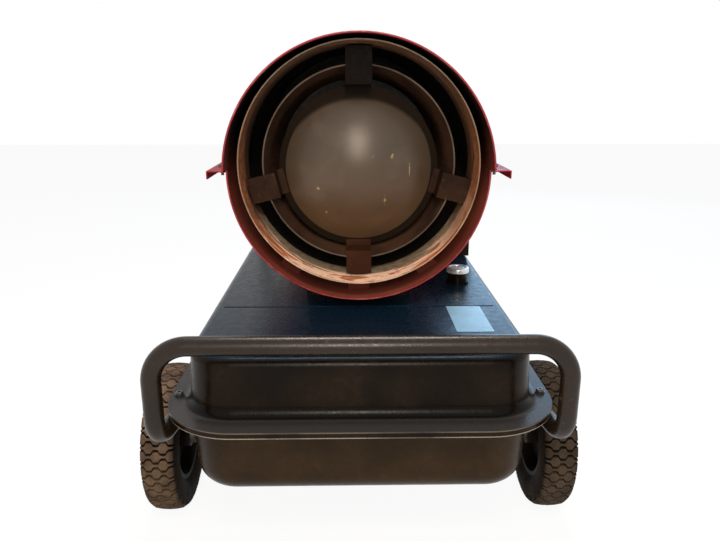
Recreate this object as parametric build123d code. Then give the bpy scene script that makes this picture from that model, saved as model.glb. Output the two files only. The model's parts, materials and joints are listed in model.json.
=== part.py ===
from build123d import *
import math
import os

# Forced air heater: a round red shell over a pressed steel fuel tank, on two wheels and a rear stand.
# X is right seen from the hot-air outlet, the outlet faces -Y, Z is up. Millimetres.
# Lengths along Y are counted from the front edge of the tank's seam flange.

# ---------------------------------------------------------------- general
clearance = 0.3
sheet = 1.5
running_fit = 0.05
press_fit = 0.02
cutter_reach = 10.0

# ---------------------------------------------------------------- tank
tank_ground_gap = 110.0
tank_length = 792.0
tank_flange_width = 467.0
tank_flange_corner = 90.0
tank_flange_margin = 33.0
tank_side_margin = 27.0
tank_corner = 57.0
tank_flange_lip = 8.0
tank_wall = 2.0
tank_upper_height = 73.0
tank_lower_height = 104.0
tank_draft = 3.0
tank_top_fillet = 11.0
tank_bottom_fillet = 30.0
tank_flange_fillet = 12.5
tank_bead_from_front = 186.0
tank_bead_width = 5.0
tank_bead_depth = 1.4
tank_bead_margin = 8.0

# ---------------------------------------------------------------- shell
shell_radius = 171.0
shell_above_tank = 16.5
shell_split_rise = 5.0
shell_front = 170.0
shell_lower_setback = 28.0
shell_length = 690.0
shell_flange_width = 19.0
shell_flange_lip = 10.0
shell_screw_count = 5
shell_screw_margin = 24.0
screw_radius = 2.0
screw_hole_fit = 0.4
screw_head_radius = 4.6
screw_head_height = 3.2
screw_head_round = 1.0
screw_socket_depth = 1.6
screw_tail = 8.0
screw_nut_height = 4.5
pickup_hole_gap = 2.0
support_inset = 120.0
support_width = 150.0
support_length = 40.0
support_height = 40.0
support_end_wall = 5.0
support_side_wall = 3.0
support_hollow = 8.0
drain_from_tank_end = 80.0

# ---------------------------------------------------------------- combustion chamber
chamber_rise = 9.0
chamber_gap = 16.0
chamber_front = 192.0
chamber_wall = 1.6
chamber_rim_depth = 60.0
chamber_rim_band = 6.0
machinery_length = 342.0
chamber_throat_radius = 46.0
chamber_bracket_width = 30.0
chamber_bracket_length = 24.0
chamber_bracket_inset = 60.0
chamber_bracket_angles = (-125, -90, -55)
ring_gap = 28.0
ring_setback = 30.0
ring_length = 70.0
dome_gap = 27.0
dome_setback = 62.0
dome_bulge = 28.0
dome_wall = 2.0
dome_rim = 8.0
dome_drop = 7.5
tab_width = 34.0
tab_thickness = 2.0
tab_bend = 3.0
tab_tail = 34.0
tab_side_drop = 14.0

# ---------------------------------------------------------------- burner
burner_radius = 45.0
burner_length = 34.0
burner_set_in = 18.0
burner_sheet = 2.0
burner_flange_width = 16.0
burner_flange_lap = 1.0
burner_vents = 8
burner_vent_radius = 5.0
burner_vent_inset = 14.0
nozzle_radius = 9.0
nozzle_tip_radius = 3.0
nozzle_tip_length = 10.0
nozzle_length = 30.0
nozzle_set_in = 16.0
igniter_block_length = 24.0
electrode_radius = 1.6
electrode_spread = 7.0
electrode_length = 26.0
electrode_reach = 34.0
photocell_radius = 6.0
photocell_length = 22.0
photocell_reach = 8.0
photocell_collar_width = 2.5
photocell_collar_length = 5.0
burner_port_x = 22.0
burner_port_rise = 18.0
fuel_tube_radius = 3.0
air_tube_radius = 2.5
air_tube_end = 8.0
fuel_tube_off_floor = 16.0
filter_radius = 11.0
filter_length = 34.0
filter_round = 3.0
filter_above_shell = 36.0
fuel_pickup_x = 60.0
fuel_pickup_behind_burner = 22.0
fuel_line_bend = 14.0
nozzle_bend = 6.0
air_line_bend = 16.0

# ---------------------------------------------------------------- motor, fan and pump
fan_shell_gap = 29.0
fan_blades = 5
fan_hub_radius = 24.0
fan_hub_length = 26.0
fan_gap_behind_burner = 34.0
blade_bend_radius = 150.0
blade_chord = 74.0
blade_sag = 8.0
blade_pitch = 34.0
shaft_radius = 6.0
motor_radius = 56.0
motor_length = 104.0
motor_gap = 14.0
motor_round = 5.0
motor_slots = 16
motor_slot_width = 3.0
motor_slot_depth = 2.0
motor_slot_margin = 25.0
motor_nose_radius = 15.0
motor_nose_length = 6.0
shaft_tip = 4.0
motor_foot_x = 40.0
motor_foot_lap = 5.0
motor_foot_rise = 16.0
motor_cradle_inset = 22.0
motor_cradle_sheet = 3.0
motor_cradle_rise = 10.0
motor_leg_top = 0.7
pump_radius = 44.0
pump_length = 24.0
pump_wall = 8.0
pump_floor = 3.0
pump_rotor_inset = 14.0
pump_room_gap = 4.0
pump_outlet_radius = 6.0
pump_outlet_length = 12.0
pump_outlet_lap = 2.0
pump_vanes = 4
pump_vane_slot = 3.0
pump_vane_depth = 9.0
pump_cover_length = 26.0
pump_cover_lap = 4.0
pump_cover_round = 6.0
pump_cover_bolts = 6
pump_cover_bolt_inset = 10.0
pump_cover_bolt_radius = 3.0
pump_cover_bolt_depth = 4.0
pressure_gauge_x = 26.0
pressure_gauge_rise = 8.0
pressure_gauge_radius = 14.0
pressure_gauge_length = 9.0
pressure_gauge_round = 1.5
pressure_stem_radius = 4.0
pressure_stem_length = 6.0
guard_wire = 2.0
guard_depth = 26.0
guard_rings = 7
guard_spokes = 8
guard_eye = 26.0
guard_bend = 14.0
guard_band_set_in = 12.0
guard_band_length = 14.0
guard_spoke_set_in = 10.0
guard_spoke_rise = 1.3

# ---------------------------------------------------------------- control box
box_length = 200.0
box_from_front = 502.0
box_inner_x = 112.0
box_wall = 1.5
box_side_height = 114.0
box_shell_gap = 6.0
box_tank_inset = 3.0
knob_radius = 17.0
knob_height = 15.0
knob_stem = 4.0
knob_stem_length = 10.0
knob_edge = 1.5
knob_notches = 18
knob_notch_radius = 1.5
knob_notch_out = 0.6
knob_pointer_width = 2.4
knob_pointer_rise = 1.6
knob_pointer_inset = 3.0
knob_pointer_root = 0.5
switch_length = 27.0
switch_height = 20.0
switch_bezel = 3.0
switch_bezel_rise = 2.0
switch_wall = 2.0
switch_depth = 12.0
rocker_gap = 0.9
rocker_side_gap = 0.5
rocker_rise = 4.2
rocker_waist = 2.4
rocker_skirt = 1.0
rocker_keel = 4.0
switch_pivot_depth = 2.0
switch_pivot_radius = 2.8
switch_tilt = 8.0
knob_from_box_front = 52.0
switch_from_box_front = 124.0
control_rise = 60.0
transformer_size = (34.0, 62.0, 32.0)
transformer_side_gap = 6.0
transformer_inset = 30.0
transformer_round = 2.0
board_inset = 108.0
board_length = 70.0
board_side_gap = 4.0
board_outer_gap = 20.0
board_rise = 8.0
board_thickness = 1.6
board_sink = 0.6
board_post_radius = 2.5
board_post_length = 8.0
board_post_x = (10.0, 46.0)
board_post_y = (6.0, 62.0)
relay_size = (20.0, 24.0, 11.0)
relay_place = (6.0, 12.0)
capacitor_radius = 5.0
capacitor_height = 12.0
capacitor_place = (40.0, 30.0)
gland_radius = 11.0
gland_collar = 6.0
gland_cone_length = 10.0
gland_cone_radii = (6.0, 9.0)
gland_thread_radius = 6.8
gland_thread_length = 8.0
gland_thread_set_in = 5.0
gland_hole = 7.0
gland_bore = 4.0
gland_off_middle = 14.0
gland_rise = 30.0

# ---------------------------------------------------------------- filler, gauge, drain
cap_from_side = 50.5
cap_from_front = 336.0
cap_radius = 17.5
cap_top = 4.3
cap_skirt = 3.0
cap_round = 1.6
cap_rim_width = 4.0
cap_dish = 1.0
cap_notches = 24
cap_notch_radius = 1.3
cap_notch_out = 0.7
neck_radius = 14.5
neck_height = 20.0
neck_wall = 2.0
neck_collar_width = 3.0
neck_collar_height = 3.0
neck_stub_depth = 14.0
neck_stub_lap = 2.0
gauge_radius = 15.0
gauge_from_front = 600.0
gauge_base_height = 4.0
gauge_lens_height = 5.0
gauge_lens_inset = 4.0
gauge_round = 2.0
gauge_hole_inset = 3.0
gauge_stem_radius = 2.5
gauge_stem_length = 110.0
gauge_stem_lap = 1.0
float_radius = 9.0
float_height = 22.0
float_depth = 90.0
drain_radius = 9.0
drain_hole_inset = 2.0
drain_head_width = 3.0
drain_head_height = 6.0
drain_thread_length = 7.0
drain_thread_lap = 1.0

# ---------------------------------------------------------------- frame
tube_radius = 11.0
tube_wall = 1.6
handle_plane = 16.0
rail_inset = 10.5
handle_leg_out = 8.0
handle_bar_above_tank = 25.0
handle_corner = 42.0
handle_bend = 28.0
handle_rail_end = 372.0
stand_rail_start = 384.0
stand_plane = 800.0
stand_bend = 40.0
stand_corner = 46.0
foot_flat = 0.8
rear_handle_foot = 600.0
rear_handle_behind_shell = 70.0
rear_handle_rise = 262.0
rear_handle_corner = 60.0
flange_bolt_radius = 3.0
washer_radius = 6.0
bolt_washer_thickness = 1.2
bolt_head_radius = 5.2
bolt_head_height = 4.4
bolt_head_round = 2.4
bolt_socket_radius = 2.2
bolt_socket_floor = 2.4
bolt_tail = 9.0
bolt_nut_radius = 5.6
bolt_nut_height = 5.0
front_bolt_from_front = 94.0
rear_bolt_from_front = 716.0
rail_end_margin = 24.0
handle_flare = 60.0
foot_cut = 20.0

# ---------------------------------------------------------------- wheels
wheel_radius = 101.5
wheel_from_front = 201.0
wheel_outside_rail = 40.0
tyre_width = 49.0
tyre_crown = 1.5
tyre_shoulder = 8.0
tyre_shoulder_out = 3.5
tyre_shoulder_drop = 5.0
tyre_wall_drop = 13.0
tyre_bead_in = 7.0
tyre_bead_out = 3.0
tyre_bead_rise = 6.0
tyre_wall_rise = 16.0
rim_radius = 62.0
rim_band = 6.0
rim_well = 12.0
web_front = 5.0
web_slope = 3.0
web_step = 8.0
web_holes = 6
web_hole_radius = 7.5
hub_radius = 17.0
hub_inner = 22.0
hub_outer = 10.0
axle_radius = 8.0
axle_fit = 0.08
axle_cap_radius = 13.0
axle_cap_length = 10.0
axle_cap_round = 4.0
axle_cap_depth = 7.0
bracket_front_reach = 90.0
bracket_rear_reach = 95.0
bracket_eye_radius = 24.0
bracket_foot_drop = 10.0
bracket_slot_length = 70.0
bracket_slot_width = 24.0
bracket_slot_rise = 52.0
bracket_slot_shift = 4.0
bracket_plate = 4.0
washer_thickness = 2.0
wheel_washer_radius = 14.0
spacer_radius = 12.0

# ---------------------------------------------------------------- worked out
seam_z = tank_ground_gap + tank_lower_height
flange_top_z = seam_z + tank_wall
tank_top_z = seam_z + tank_upper_height
tank_half = tank_flange_width / 2 - tank_side_margin
tank_mid = tank_length / 2
axis_z = tank_top_z + shell_radius + shell_above_tank
split_z = axis_z + shell_split_rise
chamber_radius = shell_radius - chamber_gap
chamber_z = axis_z + chamber_rise
chamber_back = chamber_front + shell_length - machinery_length
ring_radius = chamber_radius - ring_gap
dome_radius = ring_radius - dome_gap
fan_radius = shell_radius - fan_shell_gap
pump_rotor_radius = pump_radius - pump_rotor_inset
shell_back = shell_front + shell_length
rail_x = tank_flange_width / 2 - rail_inset
handle_leg_x = rail_x + handle_leg_out
cap_x = tank_half - cap_from_side
rail_z = flange_top_z - tank_flange_lip - clearance - tube_radius
handle_bar_z = tank_top_z + handle_bar_above_tank
burner_back = chamber_back + burner_length
fan_front = burner_back + fan_gap_behind_burner
motor_front = fan_front + fan_hub_length + motor_gap
motor_back = motor_front + motor_length
pump_back = motor_back + pump_length
box_outer_x = tank_half - box_tank_inset
box_back = box_from_front + box_length
gland_x = (box_inner_x + box_outer_x) / 2 + gland_off_middle
gland_z = tank_top_z + gland_rise
axle_z = wheel_radius
bracket_x = rail_x
wheel_x = rail_x + wheel_outside_rail
rear_handle_plane = shell_back + rear_handle_behind_shell
rear_reach = rear_handle_plane + tube_radius
centre_shift = -rear_reach / 2


def along_y(sketch, start, length):
    """A sketch drawn in X and Z, made solid from start along +Y."""
    return Pos(0, start, 0) * extrude(Plane.XZ * sketch, amount=-length)


def rod_y(radius, start, length, x=0.0, z=0.0):
    return Pos(x, start + length / 2, z) * Rot(90, 0, 0) * Cylinder(radius, length)


def rod_x(radius, start, length, y=0.0, z=0.0):
    return Pos(start + length / 2, y, z) * Rot(0, 90, 0) * Cylinder(radius, length)


def rod_z(radius, start, length, x=0.0, y=0.0):
    return Pos(x, y, start + length / 2) * Cylinder(radius, length)


def hole_z(radius, z, x, y):
    """A cutter through a wall that lies near the height z."""
    return rod_z(radius, z - cutter_reach, 2 * cutter_reach, x, y)


def hole_y(radius, y, x, z):
    return rod_y(radius, y - cutter_reach, 2 * cutter_reach, x, z)


def box_between(x0, x1, y0, y1, z0, z1):
    return Pos((x0 + x1) / 2, (y0 + y1) / 2, (z0 + z1) / 2) * Box(x1 - x0, y1 - y0, z1 - z0)


def turned(points, axis_height):
    """A ring turned about the shell's direction from (radius, y) points."""
    face = make_face(Polyline(*[(r, y) for r, y in points], close=True))
    return Pos(0, 0, axis_height) * revolve(face, axis=Axis.Y)


def tube_along(points, radii, radius, wall):
    path = FilletPolyline(*points, radius=radii)
    start = Plane(origin=path @ 0, z_dir=path % 0)
    outer = sweep(start * Circle(radius), path=path)
    if wall <= 0:
        return outer
    inner = sweep(start * Circle(radius - wall), path=path)
    return outer - inner


def mirrored(shape):
    return mirror(shape, about=Plane.YZ)


# ---------------------------------------------------------------- tank
def tank_pan(height, half_width, length, corner, wall, round_edge, inner):
    """One drawn half of the tank with its open side at z = 0."""
    inset = wall if inner else 0.0
    base = RectangleRounded(2 * (half_width - inset), length - 2 * inset, corner - inset)
    pan = extrude(base, amount=height - inset, taper=tank_draft)
    top = pan.faces().sort_by(Axis.Z)[-1]
    return fillet(top.edges(), round_edge - inset)


def tank_half_shell(height, round_edge):
    body_length = tank_length - 2 * tank_flange_margin
    corner = tank_corner
    outer = tank_pan(height, tank_half, body_length, corner, tank_wall, round_edge, False)
    plate = extrude(RectangleRounded(tank_flange_width, tank_length, tank_flange_corner), amount=tank_wall)
    solid = outer + plate
    junction = solid.edges().filter_by_position(Axis.Z, tank_wall - 0.01, tank_wall + 0.01)
    inside = [e for e in junction if not on_plate_rim(e)]
    solid = fillet(inside, tank_flange_fillet)
    return solid - tank_pan(height, tank_half, body_length, corner, tank_wall, round_edge, True)


def on_plate_rim(edge):
    """True for edges of the flange's own outline, which stays square."""
    point = edge @ 0.5
    near_side = abs(point.X) > tank_flange_width / 2 - 1
    near_end = abs(point.Y) > tank_length / 2 - 1
    dx = abs(point.X) - (tank_flange_width / 2 - tank_flange_corner)
    dy = abs(point.Y) - (tank_length / 2 - tank_flange_corner)
    in_corner = dx > 0 and dy > 0 and math.hypot(dx, dy) > tank_flange_corner - 1
    return near_side or near_end or in_corner


def flange_bolt_places():
    front = [(rail_x, front_bolt_from_front), (rail_x, handle_rail_end - rail_end_margin)]
    rear = [(rail_x, stand_rail_start + rail_end_margin), (rail_x, rear_bolt_from_front)]
    return [(side * x, y) for x, y in front + rear for side in (-1, 1)]


def cut_bolt_holes(part, low, high, radius):
    for x, y in flange_bolt_places():
        part -= rod_z(radius, low, high - low, x, y)
    return part


def tank_upper():
    half = Pos(0, tank_mid, seam_z) * tank_half_shell(tank_upper_height, tank_top_fillet)
    lip_outer = RectangleRounded(tank_flange_width, tank_length, tank_flange_corner)
    lip_inner = RectangleRounded(
        tank_flange_width - 2 * tank_wall,
        tank_length - 2 * tank_wall,
        tank_flange_corner - tank_wall,
    )
    lip = Pos(0, tank_mid, flange_top_z - tank_flange_lip) * extrude(
        lip_outer - lip_inner, amount=tank_flange_lip
    )
    half += lip
    half -= cross_bead()
    half -= hole_z(neck_radius - tank_wall, tank_top_z, cap_x, cap_from_front)
    half -= hole_z(gauge_radius - gauge_hole_inset, tank_top_z, -cap_x, gauge_from_front)
    half -= hole_z(fuel_tube_radius + clearance, tank_top_z, *fuel_pickup())
    return cut_bolt_holes(half, seam_z - 1, flange_top_z + 1, flange_bolt_radius + clearance)


def cross_bead():
    """The shallow line pressed across the tank's top."""
    y = tank_bead_from_front + tank_flange_margin
    width = 2 * (tank_half - tank_top_fillet - tank_bead_margin)
    bead = Rot(0, 90, 0) * Cylinder(tank_bead_width / 2, width)
    return Pos(0, y, tank_top_z + tank_bead_width / 2 - tank_bead_depth) * bead


def tank_lower():
    half = tank_half_shell(tank_lower_height, tank_bottom_fillet)
    trim = RectangleRounded(
        tank_flange_width - 2 * (tank_wall + clearance),
        tank_length - 2 * (tank_wall + clearance),
        tank_flange_corner - tank_wall - clearance,
    )
    half &= extrude(trim, amount=tank_lower_height + 1)
    half = Pos(0, tank_mid, seam_z) * Rot(180, 0, 0) * half
    half -= hole_z(drain_radius - drain_hole_inset, tank_ground_gap, 0, drain_y())
    return cut_bolt_holes(half, seam_z - tank_wall - 1, seam_z + 1, flange_bolt_radius + clearance)


def drain_y():
    return tank_length - tank_flange_margin - drain_from_tank_end


def fuel_pickup():
    return (fuel_pickup_x, burner_back + fuel_pickup_behind_burner)


# ---------------------------------------------------------------- shell
def shell_profile(upper):
    """Half ring with its outward side flange and the flange's turned lip."""
    side = 1 if upper else -1
    outer = shell_radius
    ring = Circle(outer) - Circle(outer - sheet)
    keep = Pos(0, shell_split_rise + side * (outer + clearance / 2)) * Rectangle(2 * outer + 2, 2 * outer)
    half = ring & keep
    flange_low = clearance / 2
    width = shell_flange_width + (sheet if upper else -clearance)
    flange = Rectangle(width, sheet)
    lip = Rectangle(sheet, shell_flange_lip)
    for direction in (-1, 1):
        centre = direction * (outer - sheet + width / 2)
        half += Pos(centre, shell_split_rise + side * (flange_low + sheet / 2)) * flange
        tip = direction * (outer + shell_flange_width - sheet / 2)
        if upper:
            half += Pos(tip, shell_split_rise + flange_low + sheet - shell_flange_lip / 2) * lip
    return half


def screw_places():
    span = shell_length - shell_lower_setback - 2 * shell_screw_margin
    first = shell_front + shell_lower_setback + shell_screw_margin
    x = shell_radius + shell_flange_width / 2 - 1
    steps = [first + span * i / (shell_screw_count - 1) for i in range(shell_screw_count)]
    return [(side * x, y) for y in steps for side in (-1, 1)]


def shell_half(upper):
    front = shell_front if upper else shell_front + shell_lower_setback
    half = Pos(0, 0, axis_z) * along_y(shell_profile(upper), front, shell_back - front)
    for x, y in screw_places():
        half -= hole_z(screw_radius + screw_hole_fit, split_z, x, y)
    return half


def upper_shell():
    return shell_half(True)


def lower_shell():
    half = shell_half(False)
    px, py = fuel_pickup()
    low = axis_z - shell_radius - cutter_reach
    half -= rod_z(fuel_tube_radius + pickup_hole_gap, low, 3 * cutter_reach, px, py)
    return half


def shell_screws():
    top = split_z + clearance / 2 + sheet
    low = split_z - clearance / 2 - sheet
    screws = []
    for x, y in screw_places():
        head = rod_z(screw_head_radius, top, screw_head_height, x, y)
        hexagon = extrude(RegularPolygon(screw_radius, 6), amount=-screw_socket_depth)
        shank = rod_z(screw_radius, low - screw_tail, top - low + screw_tail, x, y)
        screw = fillet((head + shank).edges().group_by(Axis.Z)[-1], screw_head_round)
        screws.append(screw - Pos(x, y, top + screw_head_height) * hexagon)
    return screws


def shell_nuts():
    low = split_z - clearance / 2 - sheet
    nuts = []
    for x, y in screw_places():
        nut = extrude(RegularPolygon(screw_head_radius, 6), amount=screw_nut_height)
        nut = Pos(x, y, low - screw_nut_height) * nut
        nuts.append(nut - hole_z(screw_radius + running_fit, low, x, y))
    return nuts


def support_places():
    return [shell_front + support_inset, shell_back - support_inset]


def shell_supports():
    """Two channels that carry the lower shell on the tank."""
    parts = []
    low = tank_top_z
    for y in support_places():
        saddle = Rectangle(support_width, support_height)
        ring = Pos(0, axis_z) * Circle(shell_radius + clearance)
        body = Pos(0, low + support_height / 2) * saddle - ring
        block = along_y(body, y - support_length / 2, support_length)
        x = support_width / 2 - support_end_wall
        depth = support_length / 2 - support_side_wall
        parts.append(block - box_between(-x, x, y - depth, y + depth, low - 1, low + support_hollow))
    return parts


# ---------------------------------------------------------------- chamber
def combustion_chamber():
    r = chamber_radius
    w = chamber_wall
    front = chamber_front
    step = chamber_rim_depth
    band = chamber_rim_band
    outline = [
        (r, front),
        (r, chamber_back),
        (chamber_throat_radius, chamber_back),
        (chamber_throat_radius, chamber_back - w),
        (r - w, chamber_back - w),
        (r - w, front + step),
        (r - band, front + step),
        (r - w, front),
    ]
    return turned(outline, chamber_z)


def inner_ring():
    start = chamber_front + ring_setback
    r = ring_radius
    outline = [(r, start), (r, start + ring_length), (r - sheet, start + ring_length), (r - sheet, start)]
    return turned(outline, chamber_z)


def dome_sphere():
    return (dome_radius ** 2 + dome_bulge ** 2) / (2 * dome_bulge)


def diffuser_dome():
    """A spun disc that bulges towards the outlet, with a narrow flat rim."""
    rim_y = chamber_front + dome_setback
    flat = dome_radius + dome_rim
    step = rim_y + dome_wall
    sphere = dome_sphere()
    back = sphere - dome_wall
    centre = rim_y - dome_bulge + sphere
    outer_arc = ThreePointArc(
        (0, rim_y - dome_bulge), arc_point(sphere, centre, 0.5), (dome_radius, rim_y)
    )
    inner = (inner_edge(back, centre), step)
    edge = Polyline((dome_radius, rim_y), (flat, rim_y), (flat, step), inner)
    inner_arc = ThreePointArc(
        inner,
        arc_point(back, centre, 0.5),
        (0, rim_y - dome_bulge + dome_wall),
    )
    close = Line((0, rim_y - dome_bulge + dome_wall), (0, rim_y - dome_bulge))
    face = make_face([outer_arc, edge, inner_arc, close])
    return Pos(0, 0, chamber_z - dome_drop) * revolve(face, axis=Axis.Y)


def arc_point(radius, centre, share):
    angle = share * math.asin(dome_radius / dome_sphere())
    return (radius * math.sin(angle), centre - radius * math.cos(angle))


def inner_edge(radius, centre):
    rise = centre - (chamber_front + dome_setback + dome_wall)
    return math.sqrt(radius ** 2 - rise ** 2)


def diffuser_tabs():
    """Four bent straps: each runs from the disc's rim, past the ring, to the chamber's rim."""
    side = 90 + tab_side_drop
    return [diffuser_tab(angle) for angle in (0, side, 180, -side)]


def diffuser_tab(angle):
    """One strap, at an angle from the top. The disc sits low, so its rim lies nearer or further."""
    shift = -dome_drop * math.cos(math.radians(angle))
    start = chamber_front + ring_setback - clearance
    rim_y = chamber_front + dome_setback - clearance
    low = dome_radius + clearance + shift
    bend = dome_radius + dome_rim + tab_bend + shift
    high = chamber_radius - chamber_rim_band - clearance
    half = tab_width / 2
    t = tab_thickness
    foot = box_between(-half, half, rim_y - t, rim_y, low, bend)
    rise = box_between(-half, half, start, rim_y, bend - t, bend)
    bridge = box_between(-half, half, start - t, start, bend - t, high)
    tail = box_between(-half, half, start - t, start + tab_tail, high - t, high)
    strap = foot + rise + bridge + tail
    strap &= rod_y(high, start - t, chamber_radius)
    return Pos(0, 0, chamber_z) * Rot(0, angle, 0) * strap


def chamber_brackets():
    """Spacers between the chamber and the lower shell, front and back."""
    parts = []
    outer = Pos(0, axis_z) * Circle(shell_radius - sheet - clearance)
    inner = Pos(0, chamber_z) * Circle(chamber_radius + clearance)
    for y in (chamber_front + chamber_bracket_inset, chamber_back - chamber_bracket_inset):
        for angle in chamber_bracket_angles:
            strip = Pos(shell_radius, 0) * Rectangle(chamber_radius, chamber_bracket_width)
            wedge = Pos(0, axis_z) * Rot(0, 0, angle) * strip
            start = y - chamber_bracket_length / 2
            parts.append(along_y((outer - inner) & wedge, start, chamber_bracket_length))
    return parts


# ---------------------------------------------------------------- burner
def burner_head():
    r = burner_radius
    t = burner_sheet
    front = chamber_back - burner_set_in
    back = burner_back
    bore = nozzle_radius + clearance
    outline = [(r, front), (r, back), (bore, back), (bore, back - t), (r - t, back - t), (r - t, front)]
    cup = turned(outline, chamber_z)
    wide = r + burner_flange_width
    lap = r - burner_flange_lap
    seat = chamber_back
    cup += turned([(wide, seat), (wide, seat + t), (lap, seat + t), (lap, seat)], chamber_z)
    for i in range(burner_vents):
        angle = math.tau * (i + 0.5) / burner_vents
        x = (r - burner_vent_inset) * math.cos(angle)
        z = chamber_z + (r - burner_vent_inset) * math.sin(angle)
        cup -= hole_y(burner_vent_radius, back, x, z)
    for x in (-burner_port_x, burner_port_x):
        z = chamber_z + math.copysign(burner_port_rise, x)
        cup -= hole_y(photocell_radius + clearance, back, x, z)
    return cup


def nozzle_adapter():
    y = burner_back - nozzle_set_in
    body = rod_y(nozzle_radius, y, nozzle_length, 0, chamber_z)
    cone = Cone(nozzle_radius, nozzle_tip_radius, nozzle_tip_length)
    tip = Pos(0, y - nozzle_tip_length / 2, chamber_z) * Rot(90, 0, 0) * cone
    return body + tip


def igniter():
    """Ceramic block on the burner's back with two bent electrodes."""
    x = -burner_port_x
    z = chamber_z - burner_port_rise
    block = rod_y(photocell_radius, burner_back - igniter_block_length / 2, igniter_block_length, x, z)
    pins = []
    for side in (-1, 1):
        pin_x = x + side * electrode_spread / 2
        pins.append(rod_y(electrode_radius, burner_back - electrode_reach, electrode_length, pin_x, z))
    return block + pins[0] + pins[1]


def photocell():
    x = burner_port_x
    z = chamber_z + burner_port_rise
    collar_radius = photocell_radius + photocell_collar_width
    collar = rod_y(collar_radius, burner_back + clearance, photocell_collar_length, x, z)
    return rod_y(photocell_radius, burner_back - photocell_reach, photocell_length, x, z) + collar


# ---------------------------------------------------------------- motor, fan, pump
def motor():
    body = rod_y(motor_radius, motor_front, motor_length, 0, axis_z)
    body = fillet(body.edges(), motor_round)
    slot = Box(2 * motor_slot_depth, motor_length - 2 * motor_slot_margin, motor_slot_width)
    for i in range(motor_slots):
        turn = Rot(0, 360 / motor_slots * i, 0)
        body -= Pos(0, motor_front + motor_length / 2, axis_z) * turn * Pos(motor_radius, 0, 0) * slot
    body += rod_y(motor_nose_radius, motor_front - motor_nose_length, motor_nose_length + 1, 0, axis_z)
    bore_start = motor_front - cutter_reach
    return body - rod_y(shaft_radius + running_fit, bore_start, motor_length + 2 * cutter_reach, 0, axis_z)


def motor_shaft():
    start = fan_front - shaft_tip
    end = pump_back - pump_wall - clearance
    return rod_y(shaft_radius, start, end - start, 0, axis_z)


def fan_blade(index):
    """One pressed blade: a curved plate cut to a ring sector and set at a pitch."""
    bend = blade_bend_radius
    arc = Pos(0, bend) * (Circle(bend) - Circle(bend - sheet))
    strip = arc & (Pos(0, blade_sag) * Rectangle(blade_chord, 2 * blade_sag))
    plate = Rot(0, 0, blade_pitch) * extrude(strip, amount=fan_radius - sheet)
    ring = Cylinder(fan_radius, blade_chord) - Cylinder(fan_hub_radius - 2 * sheet, blade_chord)
    blade = plate & (Rot(90, 0, 0) * ring)
    return Rot(0, 360 / fan_blades * index, 0) * blade


def fan():
    hub_y = fan_front + fan_hub_length / 2
    hub = Rot(90, 0, 0) * Cylinder(fan_hub_radius, fan_hub_length)
    body = hub
    for i in range(fan_blades):
        body += fan_blade(i)
    body &= Rot(90, 0, 0) * Cylinder(fan_radius, fan_hub_length)
    body -= Rot(90, 0, 0) * Cylinder(shaft_radius + press_fit, fan_hub_length + 2 * cutter_reach)
    return Pos(0, hub_y, axis_z) * body


def motor_bracket():
    """Pedestal from the lower shell to the motor: a cradle on two walls."""
    start = motor_front + motor_cradle_inset
    depth = motor_length - 2 * motor_cradle_inset
    t = motor_cradle_sheet
    cradle = Circle(motor_radius + clearance + t) - Circle(motor_radius + clearance)
    low_half = Rectangle(2 * (motor_radius + cutter_reach), motor_radius + 2 * motor_cradle_rise)
    shape = cradle & (Pos(0, -motor_radius) * low_half)
    leg_top = -motor_leg_top * motor_radius
    for side in (-1, 1):
        leg = Rectangle(t, shell_radius + leg_top)
        shape += Pos(side * motor_foot_x, (leg_top - shell_radius) / 2) * leg
    foot = Rectangle(2 * (motor_foot_x + motor_foot_lap), t)
    shape += Pos(0, -shell_radius + motor_foot_rise) * foot
    shape &= Circle(shell_radius - sheet - clearance)
    shape -= Circle(motor_radius + clearance)
    return Pos(0, 0, axis_z) * along_y(shape, start, depth)


def pump_body():
    ring = rod_y(pump_radius, motor_back, pump_length, 0, axis_z)
    room_length = pump_length - pump_floor - pump_wall
    room = rod_y(pump_rotor_radius + pump_room_gap, motor_back + pump_floor, room_length, 0, axis_z)
    bore = hole_y(shaft_radius + running_fit, motor_back, 0, axis_z)
    outlet_start = -pump_radius - pump_outlet_length + pump_outlet_lap
    outlet = rod_x(pump_outlet_radius, outlet_start, pump_outlet_length, motor_back + pump_length / 2, axis_z)
    return ring + outlet - room - bore


def pump_rotor():
    length = pump_length - pump_floor - pump_wall - 2 * clearance
    y = motor_back + pump_floor + clearance
    rotor = rod_y(pump_rotor_radius, y, length, 0, axis_z)
    slot = Box(2 * pump_vane_depth, length + 2, pump_vane_slot)
    for i in range(pump_vanes):
        turn = Rot(0, 360 / pump_vanes * i, 0)
        rotor -= Pos(0, y + length / 2, axis_z) * turn * Pos(pump_rotor_radius, 0, 0) * slot
    return rotor - rod_y(shaft_radius + press_fit, y - 1, length + 2, 0, axis_z)


def pump_end_cover():
    cover = rod_y(pump_radius + pump_cover_lap, pump_back, pump_cover_length, 0, axis_z)
    cover = fillet(cover.edges().group_by(Axis.Y)[-1], pump_cover_round)
    circle = pump_radius - pump_cover_bolt_inset
    floor = pump_back + pump_cover_length - pump_cover_bolt_depth
    for i in range(pump_cover_bolts):
        angle = math.tau * i / pump_cover_bolts
        x = circle * math.cos(angle)
        z = axis_z + circle * math.sin(angle)
        cover -= rod_y(pump_cover_bolt_radius, floor, pump_cover_bolt_depth + 1, x, z)
    return cover


def pressure_gauge():
    x = pressure_gauge_x
    z = axis_z + pressure_gauge_rise
    y = pump_back + pump_cover_length
    case = rod_y(pressure_gauge_radius, y + pressure_stem_length, pressure_gauge_length, x, z)
    case = fillet(case.edges(), pressure_gauge_round)
    return case + rod_y(pressure_stem_radius, y, pressure_stem_length, x, z)


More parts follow.
